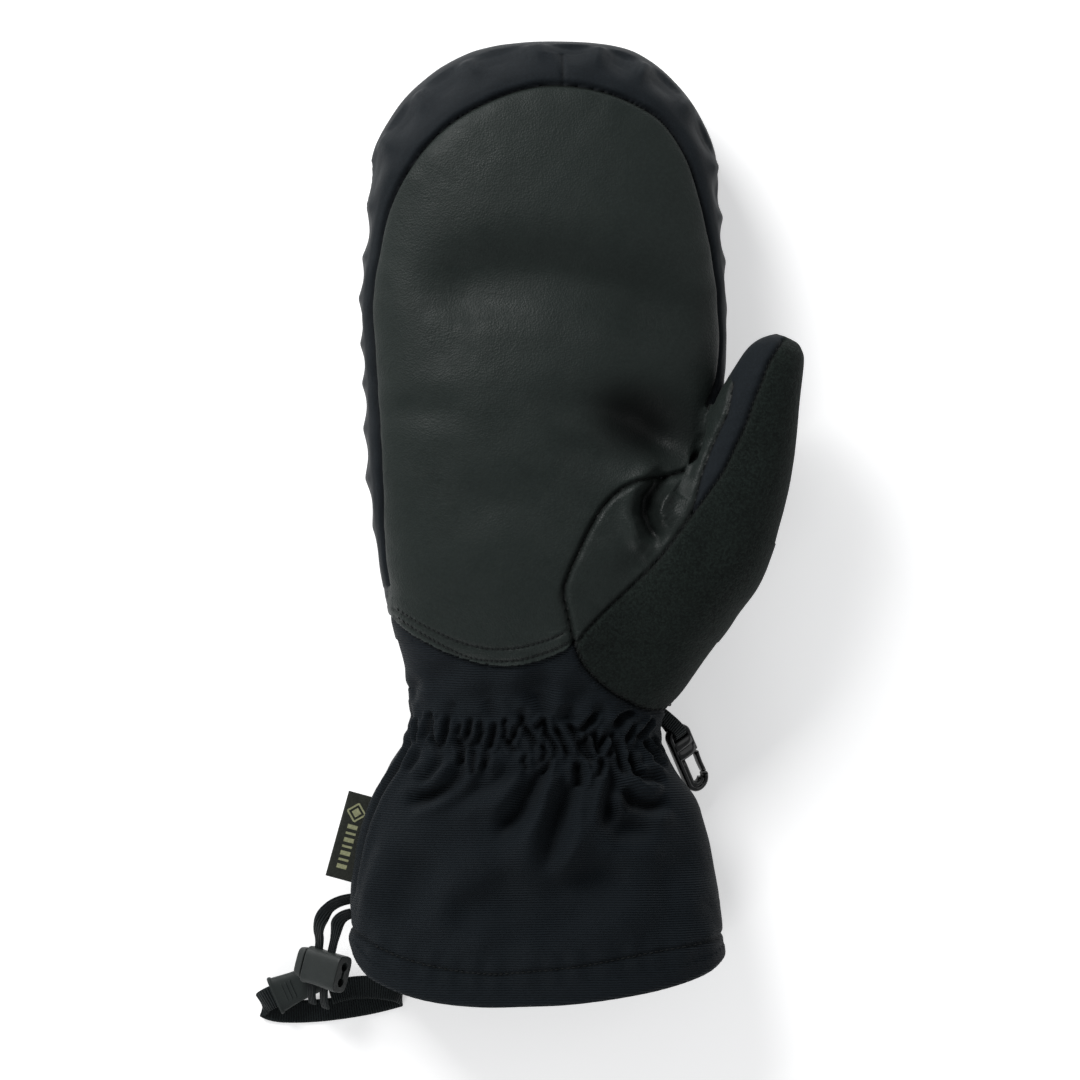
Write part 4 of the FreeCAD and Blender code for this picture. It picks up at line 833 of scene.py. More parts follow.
# soft hollows where the cloth runs into the gathers from above, with light painted shade
for pts, w, dp in (([(539, 688), (541, 702), (550, 718)], 3.0, 1.8), ([(488, 696), (492, 708), (490, 718)], 2.4, 1.2), ([(571, 700), (568, 714), (566, 722)], 2.6, 1.6),
                   ([(606, 701), (594, 714), (584, 726)], 2.4, 1.8), ([(519, 704), (525, 716), (523, 724)], 2.0, 1.2), ([(636, 708), (622, 716), (612, 726)], 2.2, 1.6),
                   ([(455, 698), (452, 708), (449, 718)], 2.0, 1.0)):
    fold(pts, w, dp, 0.3, 0.3, ridge=0.4)
for pts, w, dp, dk in (
        # folds that run out of the gathers into the cuff, with painted shade in them
        ([(460, 750), (462, 768), (450, 783), (432, 793), (414, 799), (402, 806)], 2.3, 3.4, 0.6), ([(440, 748), (438, 762), (430, 774), (414, 782)], 1.8, 1.8, 0.4),
        ([(524, 750), (519, 764), (506, 772), (490, 779), (474, 787), (455, 799), (440, 810)], 3.0, 2.4, 0.25), ([(486, 750), (484, 766), (474, 778)], 2.0, 1.5, 0.3),
        ([(551, 756), (540, 768), (531, 785), (523, 803), (507, 821), (490, 835)], 3.2, 4.0, 0.5), ([(548, 762), (538, 782), (532, 800)], 1.5, 1.6, 0.4),
        ([(577, 756), (574, 778), (564, 800), (558, 822), (548, 850), (535, 872)], 3.6, 4.6, 0.5), ([(596, 760), (594, 780), (588, 800), (584, 830)], 2.2, 1.8, 0.2),
        ([(611, 758), (613, 778), (609, 792), (606, 812), (604, 832)], 2.2, 3.4, 0.6), ([(615, 776), (623, 787), (636, 798), (653, 803), (671, 797)], 2.4, 4.2, 0.8),
        ([(632, 771), (640, 776), (654, 776), (668, 782)], 1.6, 2.0, 0.5), ([(648, 746), (656, 758), (668, 768)], 1.5, 1.8, 0.5),
        ([(420, 742), (416, 756), (404, 772)], 1.5, 1.5, 0.4), ([(606, 822), (620, 832), (640, 830), (660, 824)], 3.4, 1.8, 0.25),
        # broad, soft ones lower down, most with faint painted shade
        ([(655, 858), (620, 868), (575, 884), (520, 904), (474, 930)], 7.5, 4.4, 0.15), ([(430, 842), (416, 872), (398, 905), (392, 930)], 7.0, 3.0, 0.15),
        ([(700, 846), (672, 866), (650, 900)], 6.5, 1.6, 0.1), ([(520, 850), (500, 880), (470, 900), (440, 908)], 6.0, 2.6, 0.12),
        ([(600, 905), (560, 925), (530, 945)], 6.0, 1.2, 0.0), ([(690, 900), (660, 925), (640, 950)], 6.0, 1.2, 0.0)):
    fold(pts, w, dp, 0.3, dk, ridge=0.55)
dent(628, 812, 26, 20, -10, 4.6, 3.0)
# painted shade in the hollow of the cuff
shade = np.exp(-(((u - 626) / 26) ** 2 + ((v - 812) / 20) ** 2) ** 1.4)
painted_shade = np.maximum(painted_shade, 0.5 * shade * (P[:, 2] > 22))
dent(424, 790, 16, 12, -30, 2.0)
dent(505, 790, 50, 26, 0, -1.6)
dent(560, 850, 80, 40, -20, -1.6)
dent(430, 820, 40, 24, -20, -1.4)
dent(545, 905, 110, 14, -22, -1.6)
# painted shade in spots deep between the gathers
for cu, cv, w in ((587, 741, 1.0), (575, 768, 0.9), (632, 762, 1.0), (655, 745, 0.8), (470, 738, 0.6), (540, 760, 0.6), (610, 758, 0.7), (440, 752, 0.5)):
    painted_shade = np.maximum(painted_shade, w * 0.8 * np.exp(-(((u - cu) / 4.0) ** 2 + ((v - cv) / 11.0) ** 2)) * (P[:, 2] > 22))
# front and back of the cuff part along the little-finger side, with painted shade along the fold
fold([(411, 696), (411, 726), (408, 748), (396, 768), (381, 792), (368, 826), (358, 868), (353, 905)], 1.5, 1.5, 0.12, 0.7, ridge=0.5)
# the same gathers all round, for the sides and the back
c_, a_, zc_, b_, n_ = hull_at(np.clip(v, 43.5, 1012))
ang = np.arctan2((P[:, 2] - zc_) / b_, (P[:, 0] - c_) / a_)
under = 1 - smooth01(P[:, 2], 16, 26)
ring_noise = noise3(np.stack([np.cos(ang) * 22, np.sin(ang) * 22, v * 0.35], 1), 4.6)
gath = smooth01(v, 690, 722) * (1 - smooth01(v, 762, 860))
fan = np.sin(ang * 27 + 2.6 * noise3(np.stack([np.cos(ang) * 9, np.sin(ang) * 9, v * 0.12], 1), 3.0) + 0.9 * np.sin((v - 700) / 9.0))
off -= under * gath * (0.9 + 1.1 * fan + 0.5 * ring_noise)
# painted shade in the hollows of the gathers round the sides and back
painted_shade = np.maximum(painted_shade, under * gath * 0.5 * smooth01(fan, 0.5, 1.0))
# two shirring rows across the gathers
for row in (718.0, 731.0, 746.0):
    rw = np.exp(-((v - row - 3 * noise3(np.stack([u * K, u * 0, u * 0 + row], 1), 12.0)) / 3.2) ** 2)
    off -= 0.35 * rw * (v < 800)
# hem: stitched channel, with painted shade in it, and rolled edge
hs = true_dist(f_hst[0], f_hst[2], f_hst[3])
off -= (v > 900) * 0.75 * np.exp(-(hs / 0.8) ** 2)
painted_shade = np.maximum(painted_shade, (v > 900) * 0.55 * np.exp(-(hs / 0.7) ** 2))
hw = np.sin(2 * np.pi * f_hst[1] / 9.0 + 2.0 * noise3(np.stack([f_hst[1], v * 0, v * 0 + 4], 1), 14.0))
off += (v > 900) * 0.28 * hw * np.exp(-((hs - 2.5) / 3.5) ** 2)
off += (v > 900) * 0.4 * smooth01(hs, 1, 4) * np.where(r_hem < f_hst[0] + 0.1, 1, 0.3)
roll = np.clip(1 - r_hem / 1.6, 0, 1)
off -= 1.1 * roll ** 2 * (r_hem > -2)
# leather edge of the palm laid over the heel and sewn twice
low_m = upper & (v > 600) & (f_low[4] != 0)
ld = true_dist(f_low[0], f_low[2], f_low[3])
palm_side = (r_palm > 0) & upper
off += palm_side * 0.55 * np.exp(-(ld / 9.0) ** 4) * (v > 596) * smooth01(f_low[1], 0, 4)
off -= (~palm_side) * (r_heel > 0) * upper * 0.5 * np.exp(-(ld / 2.0) ** 2)
# painted highlight along the raised lower edge of the palm leather
edge_highlight = palm_side * np.exp(-(ld / 0.8) ** 2) * (v > 600)
# painted shade in the heel cloth just under the palm leather's edge
painted_shade = np.maximum(painted_shade, (~palm_side) * upper * (r_heel > 0) * 0.8 * np.exp(-(ld / 0.9) ** 2))
for row in (ROW1, ROW2):
    fr = line_field(XY, row)
    dr = true_dist(fr[0], fr[2], fr[3])
    mk = upper & (v > 600) & (r_palm > -0.2)
    pk = np.sin(2 * np.pi * fr[1] / 3.4)
    off -= mk * (0.42 + 0.12 * pk) * np.exp(-(dr / 0.55) ** 2)
    # painted shade in the stitch grooves
    painted_shade = np.maximum(painted_shade, mk * 0.55 * np.exp(-(dr / 0.5) ** 2))
# small irregularity of padded cloth
soft = noise3(P, 24.0) * 0.55 + noise3(P + 31, 11.0) * 0.3 + noise3(P + 77, 5.0) * 0.1
off += soft * (0.55 + 0.5 * (v > 700)) * smooth01(P[:, 2], 0.3, 5.0)
base_flat = smooth01(P[:, 2], 0.1, 3.0)
off *= np.maximum(base_flat, 0.0)
D = P + N * off[:, None]
D[:, 2] = np.maximum(D[:, 2], 0.12)
lv = P[:, 1] + 0.35 * noise3(P, 40.0)


# ------------------------------------------------------------------ cutting the form into its sewn panels
class Sheet:
    """Triangles with per-vertex data; data holds named arrays."""

    def __init__(self, tri, data):
        self.tri, self.data = tri, data

    def split(self, f):
        """Cut along f = 0; the part where f is positive, and the rest."""
        s = f > 0
        st = s[self.tri]
        k = st.sum(axis=1)
        full, none, mixed = self.tri[k == 3], self.tri[k == 0], self.tri[(k > 0) & (k < 3)]
        ms = s[mixed]
        lone_in = ms.sum(axis=1) == 1
        pick = np.where(lone_in[:, None], ms, ~ms).argmax(axis=1)
        r = np.arange(len(mixed))
        a, b, c = mixed[r, pick], mixed[r, (pick + 1) % 3], mixed[r, (pick + 2) % 3]
        n0 = len(f)
        pairs = np.sort(np.vstack([np.stack([a, b], 1), np.stack([a, c], 1)]), axis=1)
        uniq, inv = np.unique(pairs, axis=0, return_inverse=True)
        inv = inv.ravel()
        fa, fb = f[uniq[:, 0]], f[uniq[:, 1]]
        t = np.clip(fa / (fa - fb + 1e-12), 0.02, 0.98)
        data = {}
        for key, val in self.data.items():
            w = t[:, None] if val.ndim > 1 else t
            data[key] = np.concatenate([val, val[uniq[:, 0]] * (1 - w) + val[uniq[:, 1]] * w])
        m = len(mixed)
        ab, ac = n0 + inv[:m], n0 + inv[m:]
        lone = np.stack([a, ab, ac], 1)
        pair = np.vstack([np.stack([ab, b, c], 1), np.stack([ab, c, ac], 1)])
        two = np.concatenate([lone_in, lone_in])
        inn = np.vstack([full, lone[lone_in], pair[~two]])
        out = np.vstack([none, lone[~lone_in], pair[two]])
        return Sheet(inn, data), Sheet(out, data)

    def compact(self):
        used = np.unique(self.tri)
        remap = np.zeros(len(next(iter(self.data.values()))), int)
        remap[used] = np.arange(len(used))
        return Sheet(remap[self.tri], {k: x[used] for k, x in self.data.items()})


whole = Sheet(F, dict(D=D, N=N, P=P, painted_shade=painted_shade, edge_highlight=edge_highlight.astype(float), lv=lv, r_palm=r_palm, r_suede=r_suede, r_leather=r_leather, r_gusset=r_gusset,
                      r_heel=r_heel, r_wedge=r_wedge, r_hem=r_hem, s=s_, on=on_thumb))


def panel(name, sh, material, nodes, ride=None, blend=None, lip=1.1, rim=None):
    sh = sh.compact()
    v3, tri = sh.data["D"], sh.tri
    att = {k: sh.data[k] for k in ("painted_shade", "edge_highlight", "lv")}
    nn = sh.data["N"]
    if lip:
        e = np.vstack([tri[:, [0, 1]], tri[:, [1, 2]], tri[:, [2, 0]]])
        key = np.sort(e, axis=1)
        uq, idx, cnt = np.unique(key, axis=0, return_index=True, return_counts=True)
        edge = e[idx[cnt == 1]]
        bv = np.unique(edge)
        m = np.zeros(len(v3), int)
        m[bv] = len(v3) + np.arange(len(bv))
        low = v3[bv] - nn[bv] * lip
        low[:, 2] = np.maximum(low[:, 2], 0.12)
        v3 = np.vstack([v3, low])
        for k in att:
            # painted shade on the lip that turns under each panel's edge
            att[k] = np.concatenate([att[k], np.maximum(att[k][bv], 0.8) if k == "painted_shade" else att[k][bv]])
        a, b = edge[:, 0], edge[:, 1]
        tri = np.vstack([tri, np.stack([b, a, m[a]], 1), np.stack([b, m[a], m[b]], 1)])
    o = new_object(name, v3, tri, material, True, att)
    if ride:
        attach(o, ride)
    if blend:
        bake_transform(o)
    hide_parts(*nodes)
    return o


WRIST = ("hand", "gauntlet", (0, -0.066, 0.024), (0, -0.093, 0.024))
KN = (BX + WX * 69.0, BY + WY * 69.0)
K0, K1 = [tuple(x * MM for x in (BX + WX * s, BY + WY * s, 38.7)) for s in (62.0, 79.0)]
THUMB_BEND = ("hand", "thumb", K0, K1)

g = whole.split(whole.data["r_hem"])[0]  # drop what is beyond the hem
zz = g.data["P"][:, 2]
palm, g = g.split(np.minimum(np.minimum(g.data["r_palm"], (zz - 26) * 0.5), np.maximum(2.0 - g.data["on"], 62 - g.data["s"])))
zz, ss, on = g.data["P"][:, 2], g.data["s"], g.data["on"]
is_t = np.maximum(on, 58 - ss)
suede_s, g = g.split(np.minimum(np.minimum(g.data["r_suede"], is_t), np.maximum((zz - 20), ss - 69)))
zz, ss, on = g.data["P"][:, 2], g.data["s"], g.data["on"]
lea = np.maximum(np.minimum(np.minimum(g.data["r_gusset"], zz - 20), 78 - ss), np.minimum(np.minimum(g.data["r_leather"], on), np.minimum(zz - 36, ss - 58)))
lea = np.minimum(lea, np.maximum(-g.data["r_wedge"], 24 - zz))
gus_s, g = g.split(lea)
zz, ss, on = g.data["P"][:, 2], g.data["s"], g.data["on"]
side_s, g = g.split(np.maximum(np.minimum(on, ss - 66), np.minimum(g.data["r_wedge"], zz - 24)))
zz = g.data["P"][:, 2]
upper_s, lower_s = g.split(zz - 20)
front_s, band_s = upper_s.split(upper_s.data["r_heel"])
yy = lower_s.data["P"][:, 1]
hand_b, cuff_b = lower_s.split(yy + 73.0)

o_palm = panel("palm_leather_skin", palm, M_PALM, ["palm_panel"], ride="hand")
o_suede = panel("thumb_suede_skin", suede_s, M_SUEDE, ["thumb_base_panel", "thumb_outer_panel"], blend=THUMB_BEND)
o_gus = panel("thumb_leather_skin", gus_s, M_GUSSET, ["thumb_gusset", "thumb_inner_panel"], blend=THUMB_BEND)
o_side = panel("thumb_side_skin", side_s, M_SIDE, ["thumb_side_panel"], blend=THUMB_BEND)
o_front = panel("gauntlet_front_skin", front_s, M_CUFF, ["heel_panel", "gauntlet_front"], blend=WRIST)
o_band = panel("side_band_skin", band_s, M_BAND, ["side_band_outer", "side_band_inner"], ride="hand")
o_back = panel("back_hand_skin", hand_b, M_BACK, ["back_hand_panel"], blend=WRIST)
o_cback = panel("gauntlet_back_skin", cuff_b, M_CUFF, ["gauntlet_back"], blend=WRIST)
print("panels", {o.name: len(o.data.polygons) for o in (o_palm, o_suede, o_gus, o_side, o_front, o_band, o_back, o_cback)})

# ------------------------------------------------------------------ stitches laid on the surface
TREE = BVHTree.FromPolygons([tuple(p) for p in D], [tuple(int(i) for i in f) for f in F])


def surface_at(x, y):
    hit = TREE.ray_cast(Vector((x, y, 120.0)), Vector((0, 0, -1)))
    return (np.array(hit[0]), np.array(hit[1])) if hit[0] is not None else (None, None)


def stitch_row(name, line, pitch, length, width, body=None, blend=None, sink=0.1, height=0.55, start=1.0, end=1.0, material=None, tilt=0.0, shift=0.0):
    seg = np.hypot(*np.diff(line, axis=0).T)
    acc = np.concatenate([[0], np.cumsum(seg)])
    verts, faces = [], []
    pos = start
    count = 0
    ring = 8
    prof = [(-0.5, 0.0), (-0.46, 0.55), (-0.32, 0.9), (0.0, 1.0), (0.32, 0.9), (0.46, 0.55), (0.5, 0.0)]
    while pos < acc[-1] - end:
        x, y = np.interp(pos, acc, line[:, 0]), np.interp(pos, acc, line[:, 1])
        x2, y2 = np.interp(pos + 0.3, acc, line[:, 0]), np.interp(pos + 0.3, acc, line[:, 1])
        tx, ty = x2 - x, y2 - y
        tl = math.hypot(tx, ty) or 1.0
        tx, ty = tx / tl, ty / tl
        x, y = x - ty * shift, y + tx * shift
        c, n = surface_at(x, y)
        if c is not None:
            a = tilt
            tan = np.array([tx * math.cos(a) - ty * math.sin(a), tx * math.sin(a) + ty * math.cos(a), 0.0])
            tan -= n * tan.dot(n)
            tan /= np.linalg.norm(tan) or 1.0
            w = np.cross(n, tan)
            b0 = len(verts)
            k = 1 + 0.12 * math.sin(count * 2.7)
            for px_, pr in prof:
                for j in range(ring):
                    th = 2 * math.pi * j / ring
                    arch = (1 - (2 * px_) ** 2) * height * 0.5
                    verts.append(c + tan * px_ * length * k + w * math.cos(th) * width * 0.5 * pr + n * (math.sin(th) * width * 0.38 * pr + arch - sink))
            for i in range(len(prof) - 1):
                for j in range(ring):
                    m = (j + 1) % ring
                    faces.append((b0 + i * ring + j, b0 + i * ring + m, b0 + (i + 1) * ring + m, b0 + (i + 1) * ring + j))
        pos += pitch * (1 + 0.05 * math.sin(count * 1.7))
        count += 1
    o = new_object(name, np.array(verts), faces, material or M_THREAD)
    if body:
        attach(o, body)
    if blend:
        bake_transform(o)
    return o


stitch_row("palm_stitches_lower", ROW1, 1.75, 1.35, 0.5, body="hand")
stitch_row("palm_stitches_upper", ROW2, 1.75, 1.35, 0.5, body="hand")
stitch_row("hem_stitches", smooth_line(HEM_STITCH[1:-1], 1.0), 1.9, 1.5, 0.5, body="gauntlet")
stitch_row("thumb_base_stitches", L_tlow, 1.9, 1.3, 0.5, blend=WRIST, shift=0.9, sink=0.0)
stitch_row("outer_seam_stitches", smooth_line(OUTER_SEAM, 1.0), 2.2, 1.2, 0.4, blend=THUMB_BEND, tilt=0.5, sink=0.05)

# ------------------------------------------------------------------ inside: lining, facing, insert and wadding
def tuck(verts, gap):
    """Move points that lie outside, or too near under, the finished skin back inside it by the gap."""
    out = np.array(verts, float)
    for _ in range(3):
        for i, q in enumerate(out):
            hit = TREE.find_nearest(Vector(q))
            c, n = np.array(hit[0]), np.array(hit[1])
            d = float((q - c).dot(n))
            if d > -gap:
                out[i] = q - n * (d + gap)
            elif (q - c).dot(q - c) < gap * gap:
                away = q - c
                out[i] = c + away / max(np.linalg.norm(away), 1e-6) * gap
    for i, q in enumerate(out):  # and straight under the upper skin
        if q[2] < 18:
            continue
        low = None
        for dx, dy in ((0, 0), (2.2, 0), (-2.2, 0), (0, 2.2), (0, -2.2)):
            hit = TREE.ray_cast(Vector((q[0] + dx, q[1] + dy, 120.0)), Vector((0, 0, -1)))
            if hit[0] is not None and hit[0][2] > 20:
                low = hit[0][2] if low is None else min(low, hit[0][2])
        if low is not None and q[2] > low - gap:
            out[i, 2] = low - gap
    out[:, 2] = np.maximum(out[:, 2], 0.5)
    return out


def open_tube(name, rows, inset, material, nodes, n=96, wob=0.0, body=None, blend=None, flip=False, zmin=None, hem_keep=None, gap=0.0):
    """A tube of the hull's form; rows are pattern rows and inset a function of the row."""
    verts = []
    for r in rows:
        ins = inset(r)
        verts += hull_ring(r, ins, n, ins * 0.9 + 0.4 if zmin is None else zmin)
    verts = np.array(verts)
    cc = verts.reshape(len(rows), n, 3).mean(axis=1)
    if wob:
        dirs = verts - np.repeat(cc, n, axis=0)
        dirs /= np.linalg.norm(dirs, axis=1, keepdims=True)
        verts += dirs * (noise3(verts, 9.0) * wob)[:, None]
    if gap:
        verts = tuck(verts, gap)
    tri = []
    for i in range(len(rows) - 1):
        for k in range(n):
            m = (k + 1) % n
            a, b, c, d = i * n + k, i * n + m, (i + 1) * n + m, (i + 1) * n + k
            tri += [(a, c, b), (a, d, c)] if flip else [(a, b, c), (a, c, d)]
    tri = np.array(tri)
    at = {"painted_shade": np.zeros(len(verts)), "edge_highlight": np.zeros(len(verts)), "lv": verts[:, 1].copy()}
    if hem_keep is not None:
        f = line_field(verts[:, :2], L_hem + [0, hem_keep])
        sh = Sheet(tri, dict(D=verts, lv=verts[:, 1])).split(np.where(f[4] > 0, f[0], -f[0]))[0].compact()
        verts, tri = sh.data["D"], sh.tri
        at = {"painted_shade": np.zeros(len(verts)), "edge_highlight": np.zeros(len(verts)), "lv": sh.data["lv"]}
    o = new_object(name, verts, tri, material, True, at)
    if body:
        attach(o, body)
    if blend:
        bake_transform(o)
    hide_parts(*nodes)
    return o


def funnel(r):
    """The cuff's lining lies close to the shell and draws in to the hand's lining at the wrist."""
    return float(3.2 + 6.2 * smooth01(np.array(-r), -860, -690))


rows_l = list(np.arange(1012, 700, -5.0))
lin_o = open_tube("gauntlet_lining_skin", rows_l, funnel, M_LINE, ["gauntlet_lining"], wob=0.5, blend=WRIST, flip=True, hem_keep=12.0, gap=2.2)
fac_o = open_tube("hem_facing_skin", list(np.arange(1012, 900, -3.0)), lambda r: 2.1, M_CUFF, ["hem_facing", "hem_drawcord"], wob=0.25, body="gauntlet", flip=True,
                  hem_keep=0.0, gap=1.4)
rows_h = list(np.arange(712, 150, -8.0)) + [140, 128, 116, 104]
hand_l = open_tube("hand_fleece_lining", rows_h, lambda r: 9.4 if r > 130 else 9.4 + (130 - r) * 0.25, M_FLEECE, ["lining_hand"], wob=0.7, body="hand", flip=True, gap=6.0)


def cap(o):
    """Close a tube's far end with a fan."""
    import bmesh
    bm = bmesh.new()
    bm.from_mesh(o.data)
    edges = [e for e in bm.edges if e.is_boundary and all(w.co.y > 0.05 for w in e.verts)]
    if edges:
        bmesh.ops.holes_fill(bm, edges=edges)
    bm.to_mesh(o.data)
    bm.free()


cap(hand_l)
for name, inset, gap, material, nodes, body, slot in (
        ("waterproof_insert_film", 2.8, 2.6, M_INSERT, ["waterproof_insert"], "hand", "membrane"),
        ("insulation_palm_wadding", 4.6, 4.0, M_WADD, ["insulation_palm"], "hand", "wadding"),
        ("insulation_back_wadding", 6.2, 5.2, M_WADD, ["insulation_back"], "hand", "wadding")):
    rr = list(np.arange(676, 150, -9.0)) + [140, 128, 116, 104, 92]
    o = open_tube(name, rr, lambda r, a=inset: a if r > 130 else a + (130 - r) * 0.12, material, nodes, wob=0.5, body=body, gap=gap)
    cap(o)
band_o = open_tube("wrist_elastic_band", list(np.arange(756, 726, -3.0)), lambda r: 4.2, M_ELAS, ["wrist_elastic"], body="gauntlet", gap=1.8)
band_o.data.uv_layers.new(name="band")


def thumb_tube(name, s0, s1, inset, material, nodes, n=48, wob=0.4):
    rows = np.linspace(s0, s1, 18)
    verts, tri = [], []
    for s in rows:
        c, a, zc, b = [float(x) for x in thumb_at(s)]
        k = max(0.25, 1 - inset / a), max(0.25, 1 - inset / b)
        th = 2 * np.pi * (np.arange(n) + 0.5) / n
        for w, h in zip(c + a * k[0] * np.cos(th), zc + b * k[1] * np.sin(th)):
            verts.append((BX + WX * s + WY * w, BY + WY * s - WX * w, h))
    p = np.array(verts)
    for _ in range(5):
        d = hull_dist(p)
        c, a, zc, b, e = hull_at(np.clip(V0 - p[:, 1] / K, 43.5, 1012))
        gx, gz = (p[:, 0] - c) / a, (p[:, 2] - zc) / b
        gl = np.maximum(np.hypot(gx, gz), 1e-6)
        push = np.maximum(6.5 + inset - d, 0)
        p[:, 0] += push * gx / gl * 0.9
    p = tuck(p + (noise3(p, 8.0) * wob)[:, None] * [0.5, 0.5, 0.5], max(inset * 0.75, 2.0))
    for i in range(len(rows) - 1):
        for k in range(n):
            m = (k + 1) % n
            tri += [(i * n + k, i * n + m, (i + 1) * n + m), (i * n + k, (i + 1) * n + m, (i + 1) * n + k)]
    c = len(p)
    p = np.vstack([p, p[-n:].mean(axis=0)])
    for k in range(n):
        tri.append((c - n + k, c - n + (k + 1) % n, c))
    at = {"painted_shade": np.zeros(len(p)), "edge_highlight": np.zeros(len(p)), "lv": p[:, 1].copy()}
    o = new_object(name, p, np.array(tri), material, True, at)
    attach(o, "thumb")
    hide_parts(*nodes)
    return o


thumb_tube("waterproof_insert_thumb_film", 86.0, 119.0, 2.4, M_INSERT, ["waterproof_insert_thumb"], wob=0.2)
thumb_tube("insulation_thumb_wadding", 86.0, 118.0, 3.6, M_WADD, ["insulation_thumb"])
thumb_tube("thumb_fleece_lining", 86.0, 116.0, 5.6, M_FLEECE, ["lining_thumb"])


# ------------------------------------------------------------------ webbing and elastic strands
def route_points(route_mm):
    """Points along the route's own NURBS line, in millimetres."""
    cu = bpy.data.curves.new("route", "CURVE")
    cu.dimensions = "3D"
    sp = cu.splines.new("NURBS")
    sp.points.add(len(route_mm) - 1)
    for pt, c in zip(sp.points, route_mm):
        pt.co = (*(np.array(c) * MM), 1)
    sp.order_u = 3
    sp.use_endpoint_u = True
    sp.resolution_u = 12
    o = bpy.data.objects.new("route", cu)
    scene.collection.objects.link(o)
    bpy.context.view_layer.update()
    me = bpy.data.meshes.new_from_object(o)
    p = np.array([w.co for w in me.vertices]) / MM
    bpy.data.objects.remove(o)
    return p


def strap(name, route, across, width, thick, material, level=False, widths=None):
    """A flat band with rounded edges along the route."""
    p = route_points(route)
    n = len(p)
    tan = np.gradient(p, axis=0)
    tan /= np.linalg.norm(tan, axis=1, keepdims=True)
    x = np.linspace(0, len(route) - 1, n)
    ac = np.array(across, float)
    w = np.stack([np.interp(x, np.arange(len(route)), ac[:, i]) for i in range(3)], 1)
    w -= tan * (w * tan).sum(axis=1, keepdims=True)
    if level:
        w[:, 2] = 0
    w /= np.linalg.norm(w, axis=1, keepdims=True)
    nn = np.cross(tan, w)
    nn /= np.linalg.norm(nn, axis=1, keepdims=True)
    arc = np.concatenate([[0], np.cumsum(np.linalg.norm(np.diff(p, axis=0), axis=1))])
    prof = []
    half, ht = width / 2, thick / 2
    wide = np.interp(x, np.arange(len(route)), widths) / width if widths else np.ones(n)
    for a in np.linspace(-1, 1, 9):
        prof.append((a * (half - ht * 0.6), ht * (1 - 0.12 * a * a)))
    prof.append((half, 0.0))
    for a in np.linspace(1, -1, 9):
        prof.append((a * (half - ht * 0.6), -ht * (1 - 0.12 * a * a)))
    prof.append((-half, 0.0))
    m = len(prof)
    verts, uv, faces = [], [], []
    for i in range(n):
        for j, (a, b) in enumerate(prof):
            verts.append(p[i] + w[i] * a * wide[i] + nn[i] * b)
            uv.append((arc[i], a))
    for i in range(n - 1):
        for j in range(m):
            k = (j + 1) % m
            faces.append((i * m + j, i * m + k, (i + 1) * m + k, (i + 1) * m + j))
    faces.append(tuple(range(m))[::-1])
    faces.append(tuple((n - 1) * m + j for j in range(m)))
    o = new_object(name, np.array(verts), faces, material, True, None, uv)
    return o, p, float(arc[-1])


RX = Matrix.Rotation(math.radians(-14), 3, "Z") @ Matrix.Rotation(math.radians(-33), 3, "Y")
LC = Vector(((324.5 - U0) * K, (V0 - 973) * K, 16.5))


def at_lock(x, y, z):
    return tuple(LC + RX @ Vector((x, y, z)))


AL = tuple(RX @ Vector((1, 0, 0)))
GC = Vector(((294.0 - U0) * K, (V0 - 993.0) * K, 5.0))
GD = Vector((-0.914, -0.405, 0)).normalized()


def at_grip(t, w=0.0, z=0.0):
    return (GC.x + GD.x * t - GD.y * w, GC.y + GD.y * t + GD.x * w, GC.z + z)


R1 = [(-74.2, -131.2, 17.0), (-81.5, -132.0, 17.0), (-86.8, -140.8, 15.8), at_lock(-4.8, 8.0, 0), at_lock(-4.8, -8.6, 0), at_lock(-4.5, -13.2, -3.6)]
R2 = [(-74.6, -136.2, 19.0), (-79.2, -137.2, 19.0), at_lock(0.4, 12.0, 0), at_lock(0.4, -9.2, 0), at_lock(0.1, -13.4, -5.2)]
A1 = [(0, -0.8, -0.6), (0.4, -0.7, -0.5), AL, AL, AL, AL]
A2 = [(0, -0.8, -0.6), (0.5, -0.7, -0.3), AL, AL, AL]
st1, p1, n1 = strap("drawcord_strand_outer_band", R1, A1, 3.6, 1.2, M_ELAS, widths=[4.9, 5.0, 4.9, 3.6, 3.6, 3.6])
st2, p2, n2 = strap("drawcord_strand_inner_band", R2, A2, 3.6, 1.2, M_ELAS, widths=[4.9, 4.9, 3.6, 3.6, 3.6])
GW = (0.405, -0.914, 0.0)
WEB_UV = [(268, 1020, 0.85), (291, 1021, 0.75), (318, 1019.5, 0.75), (345, 1016, 0.75), (370, 1011.5, 0.75), (391, 1006, 0.75),
          (399, 1003.5, 1.4), (399, 999.5, 4.2), (391, 997, 5.0), (376, 995, 4.4), (358, 994.5, 3.6), (340, 997, 3.0), (326, 1001.5, 2.7)]
WR = [at_grip(-4), at_grip(5), at_grip(12.2), at_grip(14.8, 0.9, -2.9)] + [((a - U0) * K, (V0 - b) * K, z) for a, b, z in WEB_UV]
WA = [GW, GW, GW, (0.3, -0.95, 0.0), (0.1, -0.99, 0), (-0.05, -0.99, 0), (-0.1, -0.99, 0), (-0.2, -0.98, 0), (-0.25, -0.97, 0), (-0.3, -0.95, 0), (-0.25, -0.97, 0),
      (-0.1, -0.99, 0), (0.0, -1.0, 0), (0.1, -0.99, 0), (0.2, -0.98, 0), (0.28, -0.96, 0), (0.3, -0.95, 0)]
wb, p3, n3 = strap("pull_web_band", WR, WA, 8.0, 1.05, M_WEB, level=True)
for o, pts, n, w, node, slot in ((st1, p1, n1, 0.0036, "drawcord_strand_outer", "elastic"), (st2, p2, n2, 0.0036, "drawcord_strand_inner", "elastic"),
                                 (wb, p3, n3, 0.008, "pull_web", "webbing")):
    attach(o, "gauntlet")
    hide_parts(node)
